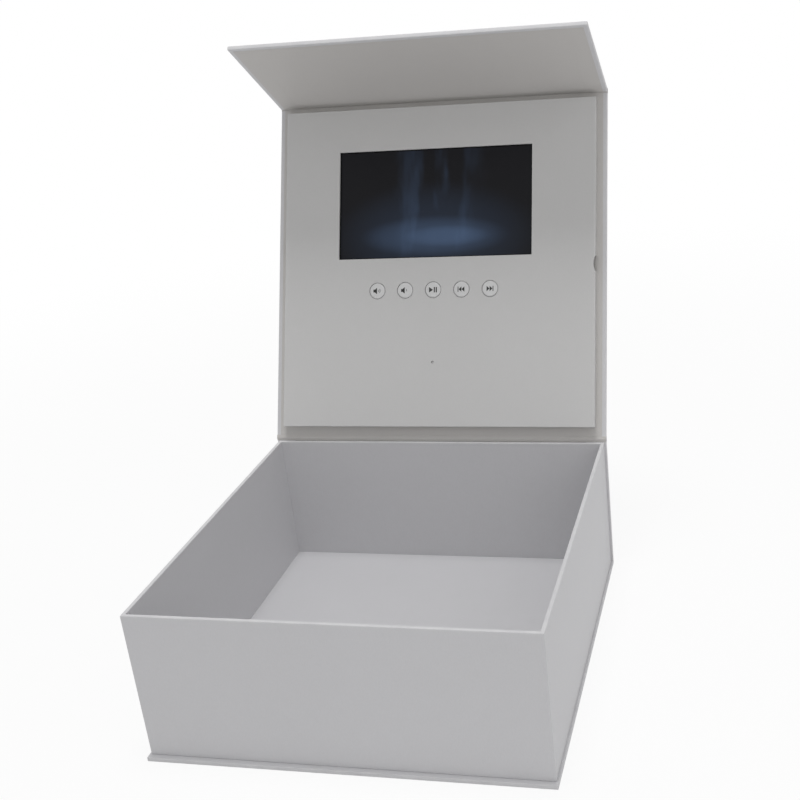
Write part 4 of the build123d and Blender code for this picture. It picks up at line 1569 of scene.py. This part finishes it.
@dataclass
class Studio:
    """Pale floor, white surroundings, soft light, and the camera where the photographer stood."""

    floor_half: float = 9.0
    floor_drop: float = 0.05       # how far it lies below the box, in millimetres
    ambient: float = 0.47
    lamps: tuple[Lamp, ...] = (
        Lamp("softbox_above", (0.0, 0.0, 2.2), 0.6, 16.8),
        Lamp("softbox_right", (1.5, -0.6, 1.4), 1.2, 3.2),
        Lamp("softbox_front", (0.3, -1.6, 0.7), 1.0, 2.0),
    )
    camera_at: tuple[float, float, float] = (0.255, -0.690, 0.471)
    yaw: float = 13.66
    pitch: float = 21.54
    roll: float = -5.19
    focal: float = 1211.0          # in pixels of the 800-pixel picture
    centre_x: float = 504.0
    picture: float = 800.0
    sensor: float = 36.0

    def build(self) -> None:
        """Sets up everything that isn't the object."""
        self._floor()
        self._surroundings()
        for lamp in self.lamps:
            lamp.hang()
        self._camera()
        bpy.context.scene.view_settings.view_transform = "Standard"

    def _floor(self) -> None:
        """A pale floor that the camera sees nearly white, but for the object's shadow."""
        draft = Draft()
        spots = [self.floor_half / MM * (i / 4 - 1) for i in range(9)]
        draft.loft(*(draft.row([Vector((x, y, -self.floor_drop)) for x in spots]) for y in spots))
        floor = draft.build("floor", Vector((0, 0, 1)))
        shader = Shader("floor", {"Roughness": 0.9, "Specular IOR Level": 0.1})
        shader.set("Base Color", shader.mix(shader.noise(40.0, 2.0), grey(0.88), grey(0.9)))
        far = shader.add("ShaderNodeVectorMath", {"operation": "LENGTH"}, {0: shader.place}, "Value")
        lit = shader.add("ShaderNodeEmission", feeds={"Color": (1, 1, 1, 1), "Strength": 1.0})
        share = seen_plainly(shader) * (0.9 + shader.between(far, 0.4, 1.3) * 0.1)
        blend = shader.add("ShaderNodeMixShader", feeds={0: share, 1: shader.surface, 2: lit})
        shader.feed(shader.end.inputs["Surface"], blend)
        floor.data.materials.append(shader.material)

    def _surroundings(self) -> None:
        """Even light from all round, and plain white behind the object."""
        world = bpy.data.worlds.new("surroundings")
        bpy.context.scene.world = world
        world.use_nodes = True
        graph = Graph(world.node_tree)
        light, white = (
            graph.add("ShaderNodeBackground", feeds={"Color": (1, 1, 1, 1), "Strength": strength})
            for strength in (self.ambient, 1.0)
        )
        both = graph.add("ShaderNodeMixShader", feeds={0: seen_plainly(graph), 1: light, 2: white})
        graph.add("ShaderNodeOutputWorld", feeds={"Surface": both})

    def _camera(self) -> None:
        """The photographer's place and turn."""
        yaw, pitch, roll = (radians(angle) for angle in (self.yaw, self.pitch, self.roll))
        ahead = Vector((-sin(yaw) * cos(pitch), cos(yaw) * cos(pitch), -sin(pitch)))
        right = Vector((cos(yaw), sin(yaw), 0.0))
        up = right.cross(ahead)
        level, tilted = cos(roll) * right + sin(roll) * up, cos(roll) * up - sin(roll) * right
        data = bpy.data.cameras.new("camera")
        data.sensor_width = self.sensor
        data.lens = self.sensor * self.focal / self.picture
        data.shift_x = (self.picture / 2 - self.centre_x) / self.picture
        camera = bpy.data.objects.new("camera", data)
        bpy.context.collection.objects.link(camera)
        turn = Matrix((level, tilted, -ahead)).transposed().to_4x4()
        camera.matrix_world = Matrix.Translation(self.camera_at) @ turn
        bpy.context.scene.camera = camera


def main() -> None:
    """Builds the box, one sub-assembly after another."""
    logging.basicConfig(level=logging.INFO, format="%(name)s: %(message)s")
    Studio().build()
    palette = Palette()
    lid_sheets = ((98.1, 237.6), (-57.6, 33.3), (2.22, 1.69))
    flap_sheets = ((178.6, 213.3), (278.1, 473.8), (0.71, 2.35))
    for part in (
        Tray(palette), CaseBack(palette), LidCase(palette), FrontFlap(palette),
        PaperHinge(palette, "lid", LID, (Body.TRAY, Body.LID), 77.85, *lid_sheets),
        PaperHinge(palette, "flap", FLAP, (Body.LID, Body.FLAP), 105.95, *flap_sheets),
        VideoPanel(palette), ButtonRow(palette),
    ):
        part.build()


if __name__ == "__main__":
    main()
